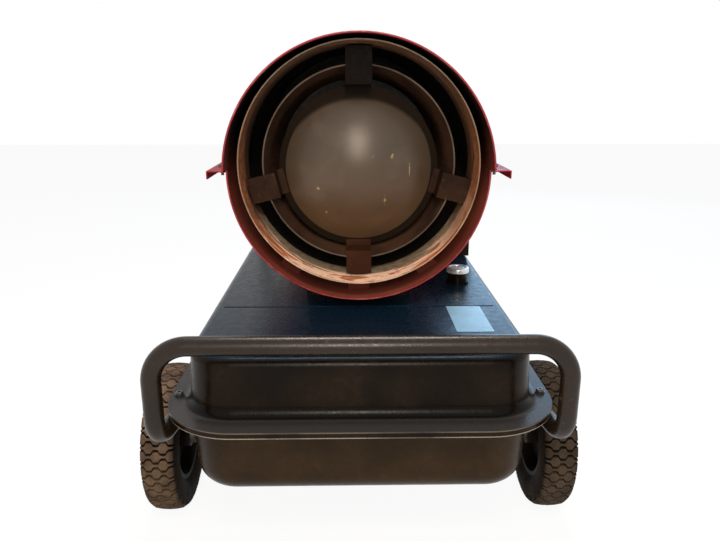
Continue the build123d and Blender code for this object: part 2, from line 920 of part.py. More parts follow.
def fan_guard():
    """Wire guard: rings on bent spokes, fixed to a band inside the shell's rear edge."""
    outer = shell_radius - sheet - clearance
    band = Circle(outer) - Circle(outer - sheet)
    guard = along_y(band, shell_back - guard_band_set_in, guard_band_length)
    face_y = shell_back + guard_depth
    for i in range(guard_spokes):
        guard += guard_spoke(360 / guard_spokes * (i + 0.5), outer, face_y)
    for i in range(guard_rings):
        radius = guard_eye + (outer - guard_eye - guard_bend) * i / (guard_rings - 1)
        guard += Pos(0, face_y, 0) * Rot(90, 0, 0) * Torus(radius, guard_wire)
    return Pos(0, 0, axis_z) * guard


def guard_spoke(angle, outer, face_y):
    inner = guard_eye - 1.5 * guard_wire
    edge = outer - sheet - guard_wire / 2
    top = face_y + guard_spoke_rise * guard_wire
    points = [(edge, shell_back - guard_spoke_set_in, 0), (edge, top, 0), (inner, top, 0)]
    wire = tube_along(points, [guard_bend], guard_wire, 0)
    return Rot(0, angle, 0) * wire


# ---------------------------------------------------------------- control box
def box_profile(inset):
    """Box section in X and Z, with its inner side cut away to clear the round shell."""
    low = tank_top_z + inset
    left = box_inner_x + inset
    right = box_outer_x - inset
    top = tank_top_z + box_side_height - inset
    outline = Polyline((left, low), (right, low), (right, top), (left, top), close=True)
    face = make_face(outline)
    return face - Pos(0, axis_z) * Circle(shell_radius + box_shell_gap + inset)


def control_box():
    outer = along_y(box_profile(0.0), box_from_front, box_length)
    inner = along_y(box_profile(box_wall), box_from_front + box_wall, box_length - 2 * box_wall)
    box = outer - inner
    x, y, z = knob_place()
    box -= rod_x(knob_stem + running_fit, x - cutter_reach, 2 * cutter_reach, y, z)
    x, y, z = switch_place()
    box -= box_about((x, y, z), 2 * cutter_reach, switch_length, switch_height)
    return box - hole_y(gland_hole, box_back, gland_x, gland_z)


def box_about(centre, width, length, height):
    return Pos(*centre) * Box(width, length, height)


def knob_place():
    return (box_outer_x, box_from_front + knob_from_box_front, tank_top_z + control_rise)


def switch_place():
    return (box_outer_x, box_from_front + switch_from_box_front, tank_top_z + control_rise)


def thermostat_knob():
    x, y, z = knob_place()
    body = rod_x(knob_radius, x + clearance, knob_height, y, z)
    body = chamfer(body.edges().group_by(Axis.X)[-1], knob_edge)
    notch = rod_x(knob_notch_radius, -knob_height, 2 * knob_height, knob_radius + knob_notch_out)
    for i in range(knob_notches):
        body -= Pos(x + clearance + knob_height / 2, y, z) * Rot(360 / knob_notches * i, 0, 0) * notch
    top = x + knob_height
    half = knob_pointer_width / 2
    low = z + knob_pointer_inset
    high = z + knob_radius - knob_pointer_inset
    pointer = box_between(top - knob_pointer_root, top + knob_pointer_rise, y - half, y + half, low, high)
    stem = rod_x(knob_stem, x - knob_stem_length, knob_stem_length + 2, y, z)
    return body + pointer + stem


def switch_frame():
    x, y, z = switch_place()
    wide = 2 * switch_bezel
    bezel_x = x + switch_bezel_rise / 2
    bezel = box_about((bezel_x, y, z), switch_bezel_rise, switch_length + wide, switch_height + wide)
    fit = 2 * clearance
    collar_depth = switch_depth + switch_bezel_rise / 2
    collar_x = x - switch_depth + collar_depth / 2
    collar = box_about((collar_x, y, z), collar_depth, switch_length - fit, switch_height - fit)
    walls = 2 * switch_wall
    room = box_about((x + switch_wall, y, z), 2 * switch_depth, switch_length - walls, switch_height - walls)
    return bezel + collar - room


def power_switch():
    """Rocker: two shallow slopes that meet over its pivot."""
    x, y, z = switch_place()
    half = switch_length / 2 - switch_wall - rocker_gap
    height = switch_height - 2 * (switch_wall + rocker_side_gap)
    skirt = x - rocker_skirt
    tip = x + rocker_rise
    profile = Polyline(
        (skirt, -half), (tip, -half), (x + rocker_waist, 0), (tip, half), (skirt, half),
        (x - rocker_keel, 0), close=True
    )
    body = extrude(make_face(profile), amount=height)
    body += rod_z(switch_pivot_radius, 0, height, x - switch_pivot_depth, 0)
    pivot = Pos(x - switch_pivot_depth, 0, 0)
    body = pivot * Rot(0, 0, -switch_tilt) * pivot.inverse() * body
    return Pos(0, y, z - height / 2) * body


def ignition_transformer():
    x = box_inner_x + transformer_side_gap
    y = box_from_front + transformer_inset
    z = tank_top_z + box_wall
    width, length, height = transformer_size
    return fillet(box_between(x, x + width, y, y + length, z, z + height).edges(), transformer_round)


def circuit_board():
    """Board on four posts, with a relay and a capacitor."""
    x = box_inner_x + board_side_gap
    y = box_from_front + board_inset
    z = tank_top_z + board_rise
    board = box_between(x, box_outer_x - board_outer_gap, y, y + board_length, z, z + board_thickness)
    for post_x in board_post_x:
        for post_y in board_post_y:
            low = tank_top_z + box_wall
            board += rod_z(board_post_radius, low, board_post_length, x + post_x, y + post_y)
    seat = z + board_thickness - board_sink
    width, length, height = relay_size
    relay_x = x + relay_place[0]
    relay_y = y + relay_place[1]
    board += box_between(relay_x, relay_x + width, relay_y, relay_y + length, seat, seat + height)
    can_x = x + capacitor_place[0]
    can_y = y + capacitor_place[1]
    return board + rod_z(capacitor_radius, seat, capacitor_height, can_x, can_y)


def cord_gland():
    """Cable inlet on the box's rear wall, left empty."""
    gland = rod_y(gland_radius, box_back, gland_collar, gland_x, gland_z)
    cone = Rot(90, 0, 0) * Cone(*gland_cone_radii, gland_cone_length)
    gland += Pos(gland_x, box_back + gland_collar + gland_cone_length / 2, gland_z) * cone
    gland += rod_y(gland_thread_radius, box_back - gland_thread_set_in, gland_thread_length, gland_x, gland_z)
    return gland - rod_y(gland_bore, box_back - cutter_reach, 4 * cutter_reach, gland_x, gland_z)


# ---------------------------------------------------------------- filler, gauge, drain, fuel
def filler_neck():
    place = (cap_x, cap_from_front)
    neck = rod_z(neck_radius, tank_top_z, neck_height, *place)
    collar = rod_z(neck_radius + neck_collar_width, tank_top_z, neck_collar_height, *place)
    stub_radius = neck_radius - tank_wall - clearance
    stub = rod_z(stub_radius, tank_top_z - neck_stub_depth, neck_stub_depth + neck_stub_lap, *place)
    bore_radius = neck_radius - tank_wall - neck_wall
    return neck + collar + stub - rod_z(bore_radius, tank_top_z - neck_height, 3 * neck_height, *place)


def fuel_cap():
    """Bright metal cap with a short skirt round the neck and a notched edge."""
    z1 = tank_top_z + neck_height + clearance
    z0 = z1 - cap_skirt
    cap = rod_z(cap_radius, z0, cap_skirt + cap_top, cap_x, cap_from_front)
    cap -= rod_z(neck_radius + clearance, z0 - 1, cap_skirt + 1, cap_x, cap_from_front)
    cap = fillet(cap.edges().group_by(Axis.Z)[-1], cap_round)
    cap -= rod_z(cap_radius - cap_rim_width, z1 + cap_top - cap_dish, 2 * cap_dish, cap_x, cap_from_front)
    for i in range(cap_notches):
        angle = math.tau * i / cap_notches
        x = cap_x + (cap_radius + cap_notch_out) * math.cos(angle)
        y = cap_from_front + (cap_radius + cap_notch_out) * math.sin(angle)
        cap -= rod_z(cap_notch_radius, z0 - 1, cap_skirt + 1, x, y)
    return cap


def fuel_gauge():
    place = (-cap_x, gauge_from_front)
    lens_z = tank_top_z + gauge_base_height
    base = rod_z(gauge_radius, tank_top_z, gauge_base_height, *place)
    lens = rod_z(gauge_radius - gauge_lens_inset, lens_z, gauge_lens_height, *place)
    head = fillet((base + lens).edges().group_by(Axis.Z)[-1], gauge_round)
    stem_z = tank_top_z - gauge_stem_length
    stem = rod_z(gauge_stem_radius, stem_z, gauge_stem_length + gauge_stem_lap, *place)
    return head + stem + rod_z(float_radius, tank_top_z - float_depth, float_height, *place)


def drain_plug():
    y = drain_y()
    hexagon = extrude(RegularPolygon(drain_radius + drain_head_width, 6), amount=drain_head_height)
    head = Pos(0, y, tank_ground_gap - drain_head_height) * hexagon
    thread_radius = drain_radius - drain_hole_inset - clearance
    low = tank_ground_gap - drain_thread_lap
    return head + rod_z(thread_radius, low, drain_thread_length + drain_thread_lap, 0, y)


def fuel_line():
    px, py = fuel_pickup()
    end_y = burner_back - nozzle_set_in + nozzle_length
    points = [
        (px, py, tank_ground_gap + fuel_tube_off_floor),
        (px, py, chamber_z),
        (0, py, chamber_z),
        (0, end_y, chamber_z),
    ]
    return tube_along(points, [fuel_line_bend, nozzle_bend], fuel_tube_radius, 0)


def fuel_filter():
    px, py = fuel_pickup()
    z = axis_z - shell_radius + filter_above_shell
    body = fillet(rod_z(filter_radius, z, filter_length, px, py).edges(), filter_round)
    return body - rod_z(fuel_tube_radius + running_fit, z - 1, filter_length + 2, px, py)


def air_line():
    """Tube from the pump's outlet, round the fan, to the nozzle adapter."""
    y0 = motor_back + pump_length / 2
    y1 = burner_back + air_tube_end
    out = (fan_radius + shell_radius - sheet) / 2
    points = [
        (-pump_radius - pump_outlet_length + pump_outlet_lap, y0, axis_z),
        (-out, y0, axis_z),
        (-out, y1, axis_z),
        (-nozzle_radius - clearance, y1, chamber_z),
    ]
    return tube_along(points, [air_line_bend, air_line_bend], air_tube_radius, 0)


# ---------------------------------------------------------------- frame
def drilled(tube, height):
    """The tube with its bolt holes right through it."""
    reach = tube_radius + 2
    return cut_bolt_holes(tube, height - reach, height + reach, flange_bolt_radius + clearance)


def front_handle():
    """U tube before the tank: its legs turn back under the seam flange and are bolted to it."""
    points = [
        (-rail_x, handle_rail_end, rail_z),
        (-rail_x, handle_plane + handle_flare, rail_z),
        (-handle_leg_x, handle_plane, rail_z),
        (-handle_leg_x, handle_plane, handle_bar_z),
        (handle_leg_x, handle_plane, handle_bar_z),
        (handle_leg_x, handle_plane, rail_z),
        (rail_x, handle_plane + handle_flare, rail_z),
        (rail_x, handle_rail_end, rail_z),
    ]
    radii = [handle_flare, handle_bend, handle_corner, handle_corner, handle_bend, handle_flare]
    tube = tube_along(points, radii, tube_radius, tube_wall)
    return drilled(tube, rail_z)


def rear_stand():
    """Rails under the rear of the seam flange that turn down and meet in a foot on the ground."""
    foot_z = tube_radius - foot_flat
    points = [
        (-rail_x, stand_rail_start, rail_z),
        (-rail_x, stand_plane, rail_z),
        (-rail_x, stand_plane, foot_z),
        (rail_x, stand_plane, foot_z),
        (rail_x, stand_plane, rail_z),
        (rail_x, stand_rail_start, rail_z),
    ]
    radii = [stand_bend, stand_corner, stand_corner, stand_bend]
    tube = tube_along(points, radii, tube_radius, tube_wall)
    tube -= box_between(-rail_x, rail_x, stand_plane - foot_cut, stand_plane + foot_cut, -foot_cut, 0)
    return drilled(tube, rail_z)


def rear_handle():
    """U tube that rises behind the fan guard from two feet on the seam flange."""
    foot_z = flange_top_z + tube_radius
    top_z = foot_z + rear_handle_rise
    points = [
        (-rail_x, rear_handle_foot, foot_z),
        (-rail_x, rear_handle_plane, foot_z),
        (-rail_x, rear_handle_plane, top_z),
        (rail_x, rear_handle_plane, top_z),
        (rail_x, rear_handle_plane, foot_z),
        (rail_x, rear_handle_foot, foot_z),
    ]
    radii = [rear_handle_corner, rear_handle_corner, rear_handle_corner, rear_handle_corner]
    tube = tube_along(points, radii, tube_radius, tube_wall)
    return drilled(tube, foot_z)


def frame_bolts():
    bolts = []
    for x, y in flange_bolt_places():
        under_handle = y > rear_handle_foot
        seat = flange_top_z + (2 * tube_radius if under_handle else 0.0)
        low = rail_z - tube_radius - bolt_tail
        head = rod_z(bolt_head_radius, seat + clearance, bolt_head_height, x, y)
        head = fillet(head.edges().group_by(Axis.Z)[-1], bolt_head_round)
        hexagon = extrude(RegularPolygon(bolt_socket_radius, 6), amount=bolt_head_height)
        head -= Pos(x, y, seat + clearance + bolt_socket_floor) * hexagon
        washer = rod_z(washer_radius, seat + clearance, bolt_washer_thickness, x, y)
        bolts.append(head + washer + rod_z(flange_bolt_radius, low, seat + 1 - low, x, y))
    return bolts


def frame_nuts():
    nuts = []
    for x, y in flange_bolt_places():
        low = rail_z - tube_radius - clearance - bolt_nut_height
        nut = Pos(x, y, low) * extrude(RegularPolygon(bolt_nut_radius, 6), amount=bolt_nut_height)
        nuts.append(nut - hole_z(flange_bolt_radius + running_fit, low, x, y))
    return nuts


# ---------------------------------------------------------------- axle and wheels
def axle_brackets():
    """Plate under each rail: long at the rail, narrowing to the axle's eye."""
    plates = []
    top = rail_z - tube_radius - clearance
    for side in (-1, 1):
        outline = Polyline(
            (wheel_from_front - bracket_front_reach, top), (wheel_from_front + bracket_rear_reach, top),
            (wheel_from_front + bracket_eye_radius, axle_z - bracket_foot_drop),
            (wheel_from_front - bracket_eye_radius, axle_z - bracket_foot_drop), close=True
        )
        face = make_face(outline) + Pos(wheel_from_front, axle_z) * Circle(bracket_eye_radius)
        face -= Pos(wheel_from_front, axle_z) * Circle(axle_radius + running_fit)
        slot = SlotOverall(bracket_slot_length, bracket_slot_width)
        face -= Pos(wheel_from_front - bracket_slot_shift, axle_z + bracket_slot_rise) * slot
        plate = extrude(Plane.YZ * face, amount=bracket_plate)
        plates.append(Pos(side * bracket_x - bracket_plate / 2, 0, 0) * plate)
    return plates


def axle():
    reach = wheel_x + hub_outer + washer_thickness + axle_cap_depth
    return rod_x(axle_radius, -reach, 2 * reach, wheel_from_front, axle_z)


def tyre_profile():
    half = tyre_width / 2
    r = wheel_radius
    seat = rim_radius + clearance
    shoulder = half - tyre_shoulder
    bead = half - tyre_bead_in
    outline = [
        (bead, seat),
        (half - tyre_bead_out, rim_radius + tyre_bead_rise),
        (half, rim_radius + tyre_wall_rise),
        (half, r - tyre_wall_drop),
        (half - tyre_shoulder_out, r - tyre_shoulder_drop),
        (shoulder, r - tyre_crown),
    ]
    low = Polyline(*[(-x, radius) for x, radius in outline])
    top = ThreePointArc((-shoulder, r - tyre_crown), (0, r), (shoulder, r - tyre_crown))
    high = Polyline(*reversed(outline))
    return make_face([low, top, high, Line((bead, seat), (-bead, seat))])


def tyre(side):
    body = revolve(tyre_profile(), axis=Axis.X)
    return Pos(side * wheel_x, wheel_from_front, axle_z) * body


def rim(side):
    """Pressed rim: hub, dished web with round holes and a band that the tyre grips."""
    band_half = tyre_width / 2 - tyre_bead_in
    bore = axle_radius + axle_fit
    web_low = hub_radius + web_step
    web_high = rim_radius - rim_well
    outline = Polyline(
        (-hub_inner, bore), (hub_outer, bore), (hub_outer, hub_radius), (web_front + web_slope, hub_radius),
        (web_front, web_low), (web_front, web_high), (band_half, rim_radius - rim_band),
        (band_half, rim_radius), (-band_half, rim_radius), (-band_half, rim_radius - rim_band),
        (0, web_high), (0, web_low), (-web_slope, hub_radius), (-hub_inner, hub_radius), close=True
    )
    body = revolve(make_face(outline), axis=Axis.X)
    circle = (web_low + web_high) / 2
    for i in range(web_holes):
        angle = math.tau * i / web_holes
        across = circle * math.cos(angle)
        up = circle * math.sin(angle)
        body -= rod_x(web_hole_radius, -hub_inner, 2 * hub_inner, across, up)
    if side < 0:
        body = Rot(0, 0, 180) * body
    return Pos(side * wheel_x, wheel_from_front, axle_z) * body


def wheel_washers():
    washers = []
    outer_start = wheel_x + hub_outer + clearance
    inner_start = bracket_x + bracket_plate / 2 + clearance
    inner_length = wheel_x - hub_inner - clearance - inner_start
    hole = axle_radius + running_fit
    for side in (-1, 1):
        outer = rod_x(wheel_washer_radius, outer_start, washer_thickness, wheel_from_front, axle_z)
        outer -= rod_x(hole, outer_start - 1, washer_thickness + 2, wheel_from_front, axle_z)
        inner = rod_x(spacer_radius, inner_start, inner_length, wheel_from_front, axle_z)
        inner -= rod_x(hole, inner_start - 1, inner_length + 2, wheel_from_front, axle_z)
        for piece in (outer, inner):
            washers.append(piece if side > 0 else mirrored(piece))
    return washers


def axle_caps():
    start = wheel_x + hub_outer + clearance + washer_thickness + clearance
    cap = rod_x(axle_cap_radius, start, axle_cap_length, wheel_from_front, axle_z)
    cap = fillet(cap.edges().group_by(Axis.X)[-1], axle_cap_round)
    cap -= rod_x(axle_radius + running_fit, start - 1, axle_cap_depth + 1, wheel_from_front, axle_z)
    return [cap, mirrored(cap)]


nodes = {
    "upper_shell": upper_shell,
    "lower_shell": lower_shell,
    "shell_screws": shell_screws,
    "shell_nuts": shell_nuts,
    "shell_supports": shell_supports,
    "combustion_chamber": combustion_chamber,
    "inner_ring": inner_ring,
    "diffuser_dome": diffuser_dome,
    "diffuser_tabs": diffuser_tabs,
    "chamber_brackets": chamber_brackets,
    "burner_head": burner_head,
    "nozzle_adapter": nozzle_adapter,
    "igniter": igniter,
    "photocell": photocell,
    "motor": motor,
    "motor_shaft": motor_shaft,
    "motor_bracket": motor_bracket,
    "fan": fan,
    "fan_guard": fan_guard,
    "pump_body": pump_body,
    "pump_rotor": pump_rotor,
    "pump_end_cover": pump_end_cover,
    "pressure_gauge": pressure_gauge,
    "control_box": control_box,
    "switch_frame": switch_frame,
    "power_switch": power_switch,
    "thermostat_knob": thermostat_knob,
    "ignition_transformer": ignition_transformer,
    "circuit_board": circuit_board,
    "cord_gland": cord_gland,
    "tank_upper": tank_upper,
    "tank_lower": tank_lower,
    "filler_neck": filler_neck,
    "fuel_cap": fuel_cap,
    "fuel_gauge": fuel_gauge,
    "drain_plug": drain_plug,
    "fuel_line": fuel_line,
    "fuel_filter": fuel_filter,
    "air_line": air_line,
    "front_handle": front_handle,
    "rear_stand": rear_stand,
    "rear_handle": rear_handle,
    "frame_bolts": frame_bolts,
    "frame_nuts": frame_nuts,
    "axle_brackets": axle_brackets,
    "axle": axle,
    "left_tyre": lambda: tyre(-1),
    "left_rim": lambda: rim(-1),
    "right_tyre": lambda: tyre(1),
    "right_rim": lambda: rim(1),
    "wheel_washers": wheel_washers,
    "axle_caps": axle_caps,
}

os.makedirs("parts", exist_ok=True)
for name, make in nodes.items():
    made = make()
    pieces = made if isinstance(made, list) else [made]
    solids = [solid for piece in pieces for solid in piece.solids()]
    whole = solids[0] if len(solids) == 1 else Compound(children=solids)
    export_step(Pos(0, centre_shift, 0) * whole, f"parts/{name}.step")
    print(name, len(solids))
print("origin shift", centre_shift, "axis height", axis_z, "rail height", rail_z)
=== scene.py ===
import bpy
import bmesh
import json
import math
from mathutils import Matrix, Vector


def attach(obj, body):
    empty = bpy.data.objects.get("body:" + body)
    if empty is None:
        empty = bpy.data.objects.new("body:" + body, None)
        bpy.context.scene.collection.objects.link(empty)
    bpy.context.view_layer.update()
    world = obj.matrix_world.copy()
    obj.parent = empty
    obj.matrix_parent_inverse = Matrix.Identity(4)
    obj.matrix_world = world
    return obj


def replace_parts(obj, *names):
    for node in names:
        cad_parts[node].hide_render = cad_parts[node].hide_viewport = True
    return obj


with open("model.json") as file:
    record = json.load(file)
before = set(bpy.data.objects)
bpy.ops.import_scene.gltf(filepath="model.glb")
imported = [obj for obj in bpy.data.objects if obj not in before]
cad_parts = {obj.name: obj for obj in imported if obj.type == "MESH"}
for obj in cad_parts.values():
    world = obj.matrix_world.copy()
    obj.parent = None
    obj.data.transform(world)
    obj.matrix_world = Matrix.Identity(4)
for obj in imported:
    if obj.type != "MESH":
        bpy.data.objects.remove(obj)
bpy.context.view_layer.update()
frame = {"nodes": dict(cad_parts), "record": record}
nodes = frame["nodes"]
print("frame loaded, nodes:", len(nodes))


# shader helpers: a finish is a Principled shader with a few texture nodes in front of it
def newFinish(name):
    finish = bpy.data.materials.new(name)
    finish.use_nodes = True
    tree = finish.node_tree
    return finish, tree, tree.nodes["Principled BSDF"]


def addNode(tree, kind, inputs=None, **settings):
    node = tree.nodes.new(kind)
    for key, value in settings.items():
        setattr(node, key, value)
    for key, value in (inputs or {}).items():
        if hasattr(value, "is_output"):
            tree.links.new(value, node.inputs[key])
        else:
            node.inputs[key].default_value = value
    return node


def objectPlace(tree, scale=(1, 1, 1), centre=(0, 0, 0)):
    coords = addNode(tree, "ShaderNodeTexCoord")
    mapping = addNode(tree, "ShaderNodeMapping", {"Vector": coords.outputs["Object"], "Scale": scale})
    mapping.inputs["Location"].default_value = [-c * s for c, s in zip(centre, scale)]
    return mapping.outputs["Vector"]


def noise(tree, place, scale, detail=4, rough=0.55, distortion=0.0):
    node = addNode(tree, "ShaderNodeTexNoise", {
        "Vector": place, "Scale": scale, "Detail": detail, "Roughness": rough, "Distortion": distortion})
    return node.outputs["Fac"]


def ramp(tree, value, stops):
    node = addNode(tree, "ShaderNodeValToRGB", {"Fac": value})
    bar = node.color_ramp
    while len(bar.elements) < len(stops):
        bar.elements.new(0.5)
    for element, (position, colour) in zip(bar.elements, stops):
        element.position = position
        element.color = (*colour, 1)
    return node.outputs["Color"]


def levels(tree, value, low, high, toLow=0.0, toHigh=1.0):
    node = addNode(tree, "ShaderNodeMapRange", {
        "Value": value, "From Min": low, "From Max": high, "To Min": toLow, "To Max": toHigh})
    return node.outputs["Result"]


def mixColour(tree, amount, first, second):
    node = addNode(tree, "ShaderNodeMix", data_type="RGBA")
    for socket, value in ((node.inputs[0], amount), (node.inputs[6], first), (node.inputs[7], second)):
        if hasattr(value, "is_output"):
            tree.links.new(value, socket)
        else:
            socket.default_value = (*value, 1) if isinstance(value, tuple) else value
    return node.outputs[2]


def combine(tree, first, second, kind="MULTIPLY"):
    return addNode(tree, "ShaderNodeMath", {0: first, 1: second}, operation=kind).outputs[0]


def magnitude(tree, value):
    return addNode(tree, "ShaderNodeMath", {0: value}, operation="ABSOLUTE").outputs[0]


def distance(tree, first, second):
    squares = combine(tree, combine(tree, first, first), combine(tree, second, second), "ADD")
    return combine(tree, squares, 0.5, "POWER")


def split(tree, place):
    return addNode(tree, "ShaderNodeSeparateXYZ", {"Vector": place}).outputs


def behind(front, depths):
    return [front + depth for depth in depths]


def shaded(colour, share):
    return tuple(c * share for c in colour)


def bump(tree, shader, height, depth, strength):
    node = addNode(tree, "ShaderNodeBump", {"Height": height, "Distance": depth, "Strength": strength})
    link(tree, node.outputs["Normal"], shader, "Normal")


def link(tree, output, shader, socket):
    tree.links.new(output, shader.inputs[socket])


# black enamel on the pressed tank: glossy, faint orange peel and dust; the upper half adds painted reflection,
# shade and highlights by height, and the lower pan's lighter, warmer enamel is a painted reflection of the floor
tankLook = {"dark": (0.0030, 0.0016, 0.0005), "light": (0.0110, 0.0060, 0.0020),
            # the lower pan's lighter, warmer enamel is a painted reflection of the warm floor
            "lowerDark": (0.011, 0.0062, 0.0021), "lowerLight": (0.024, 0.0140, 0.0052),
            "dust": (0.06, 0.05, 0.04), "dustShare": 0.22, "rough": (0.22, 0.37), "gloss": 0.10,
            "broad": 9.0, "fine": 90.0, "peel": 260.0, "peelDepth": 0.0004}

# the upper half by height, all painted light: a painted blue reflection on the flat top, a painted near-black
# shade over the blend, a painted lighter grey on the flange's flat, and a painted highlight at the flange's bend
# and along the lip's lower edge, broken into patches
lipPaintedLightLook = {"top": (0.0032, 0.0118, 0.0235), "topZ": (0.2838, 0.2854),
           "blendShade": (0.0012, 0.0009, 0.0006), "blendShadeShare": 0.85, "blendZ": (0.2168, 0.2178),
           "blendEndZ": (0.2310, 0.2270), "flange": (0.026, 0.024, 0.023), "flangeZ": (0.2152, 0.2157),
           "flangeEndZ": (0.2175, 0.2166), "worn": (0.21, 0.195, 0.175), "edgeZ": (0.2094, 0.2083),
           "bendZ": 0.2148, "bendReach": (0.0009, 0.0005), "bendShare": 0.30, "patches": (0.36, 0.56, 0.25, 1.0)}


def lipPaintedLight(tree, base, broad, z):
    look = lipPaintedLightLook
    # painted reflection: blue tint on the flat top
    base = mixColour(tree, levels(tree, z, *look["topZ"]), base, look["top"])
    # painted shade: near-black band over the blend above the flange
    blendShade = combine(tree, levels(tree, z, *look["blendZ"]), levels(tree, z, *look["blendEndZ"]))
    base = mixColour(tree, combine(tree, blendShade, look["blendShadeShare"]), base, look["blendShade"])
    # painted light: lighter grey over the flange's flat
    flat = combine(tree, levels(tree, z, *look["flangeZ"]), levels(tree, z, *look["flangeEndZ"]))
    base = mixColour(tree, flat, base, look["flange"])
    # painted highlight: bright lines at the flange's bend and along the lip's lower edge; the worn colour and
    # mask carry this highlight, broken into patches
    off = magnitude(tree, combine(tree, z, look["bendZ"], "SUBTRACT"))
    bend = levels(tree, off, *look["bendReach"], 0.0, look["bendShare"])
    worn = combine(tree, levels(tree, z, *look["edgeZ"]), bend, "MAXIMUM")
    worn = combine(tree, worn, levels(tree, broad, *look["patches"]))
    return mixColour(tree, worn, base, look["worn"])


def tankPaint(name, paintLipLight=False, dark="dark", light="light"):
    finish, tree, shader = newFinish(name)
    look = tankLook
    place = objectPlace(tree)
    broad = noise(tree, place, look["broad"], 5)
    fine = noise(tree, place, look["fine"], 6, 0.6)
    base = ramp(tree, broad, [(0.35, look[dark]), (0.7, look[light])])
    dust = combine(tree, levels(tree, fine, 0.5, 0.78), levels(tree, broad, 0.4, 0.75))
    base = mixColour(tree, combine(tree, dust, look["dustShare"]), base, look["dust"])
    # the upper half gets painted reflection, shade and highlights
    if paintLipLight:
        base = lipPaintedLight(tree, base, broad, split(tree, place)["Z"])
    link(tree, base, shader, "Base Color")
    link(tree, levels(tree, fine, 0.3, 0.75, *look["rough"]), shader, "Roughness")
    shader.inputs["Specular IOR Level"].default_value = look["gloss"]
    bump(tree, shader, noise(tree, place, look["peel"], 2), look["peelDepth"], 0.25)
    return finish


# satin black on the bent tube: warmer and rougher than the tank
tubeLook = {"dark": (0.0070, 0.0038, 0.0016), "light": (0.0120, 0.0068, 0.0034), "rub": (0.13, 0.115, 0.10),
            "rubShare": 0.4, "rough": (0.23, 0.41), "gloss": 0.30, "broad": 14.0, "fine": 170.0,
            "grain": 420.0, "grainDepth": 0.0003}


def tubePaint():
    finish, tree, shader = newFinish("tubePaint")
    look = tubeLook
    place = objectPlace(tree)
    broad = noise(tree, place, look["broad"], 5)
    fine = noise(tree, place, look["fine"], 5, 0.6)
    base = ramp(tree, broad, [(0.3, look["dark"]), (0.72, look["light"])])
    rub = combine(tree, levels(tree, fine, 0.6, 0.72), levels(tree, broad, 0.5, 0.7))
    base = mixColour(tree, combine(tree, rub, look["rubShare"]), base, look["rub"])
    link(tree, base, shader, "Base Color")
    link(tree, levels(tree, fine, 0.3, 0.75, *look["rough"]), shader, "Roughness")
    shader.inputs["Specular IOR Level"].default_value = look["gloss"]
    bump(tree, shader, noise(tree, place, look["grain"], 3), look["grainDepth"], 0.3)
    return finish


# red enamel outside, with painted shade darkening the side flanges; the lining is brown-red and soot-dark
# towards the top
shellLook = {"red": (0.38, 0.013, 0.020), "deep": (0.30, 0.010, 0.015), "scuff": (0.42, 0.10, 0.09),
             "scuffShare": 0.35, "liningDark": (0.15, 0.034, 0.022), "liningLight": (0.26, 0.070, 0.045),
             "soot": (0.012, 0.006, 0.005), "flange": (0.15, 0.005, 0.009), "flangeX": (0.1725, 0.1745),
             "axisZ": 0.4745, "liningReach": (0.1704, 0.1700), "sootRise": (0.0, 0.09), "rough": (0.42, 0.58),
             "liningRough": 0.30, "gloss": 0.10, "broad": 11.0, "fine": 120.0, "grain": 240.0,
             "grainDepth": 0.0004}


def shellPaint():
    finish, tree, shader = newFinish("shellPaint")
    look = shellLook
    place = objectPlace(tree)
    x, y, z = split(tree, place)
    up = combine(tree, z, look["axisZ"], "SUBTRACT")
    inner = levels(tree, distance(tree, x, up), *look["liningReach"])
    broad = noise(tree, place, look["broad"], 5)
    fine = noise(tree, place, look["fine"], 6, 0.6)
    red = ramp(tree, broad, [(0.3, look["deep"]), (0.7, look["red"])])
    scuff = combine(tree, levels(tree, fine, 0.6, 0.75), look["scuffShare"])
    red = mixColour(tree, scuff, red, look["scuff"])
    soot = levels(tree, combine(tree, up, combine(tree, broad, 0.06), "ADD"), *look["sootRise"])
    lining = ramp(tree, broad, [(0.3, look["liningDark"]), (0.7, look["liningLight"])])
    lining = mixColour(tree, soot, lining, look["soot"])
    base = mixColour(tree, inner, red, lining)
    # painted shade: darker red over the side flanges
    base = mixColour(tree, levels(tree, magnitude(tree, x), *look["flangeX"]), base, look["flange"])
    link(tree, base, shader, "Base Color")
    rough = levels(tree, fine, 0.3, 0.7, *look["rough"])
    rough = combine(tree, rough, combine(tree, inner, look["liningRough"]), "ADD")
    link(tree, rough, shader, "Roughness")
    shader.inputs["Specular IOR Level"].default_value = look["gloss"]
    bump(tree, shader, noise(tree, place, look["grain"], 3), look["grainDepth"], 0.25)
    return finish


# red enamel worn thin on the rolled front edges; its pinkish patches are partly worn enamel and partly painted
# highlight
hemLook = {"red": (0.17, 0.008, 0.014), "worn": (0.30, 0.085, 0.080), "wornAndHighlightShare": 0.55, "rough": 0.38,
           "gloss": 0.35, "patches": 45.0}


def hemPaint():
    finish, tree, shader = newFinish("hemPaint")
    look = hemLook
    worn = levels(tree, noise(tree, objectPlace(tree), look["patches"], 6, 0.6), 0.52, 0.68)
    # pinkish patches: partly worn enamel, partly painted highlight
    red = mixColour(tree, combine(tree, worn, look["wornAndHighlightShare"]), look["red"], look["worn"])
    link(tree, red, shader, "Base Color")
    shader.inputs["Roughness"].default_value = look["rough"]
    shader.inputs["Specular IOR Level"].default_value = look["gloss"]
    return finish


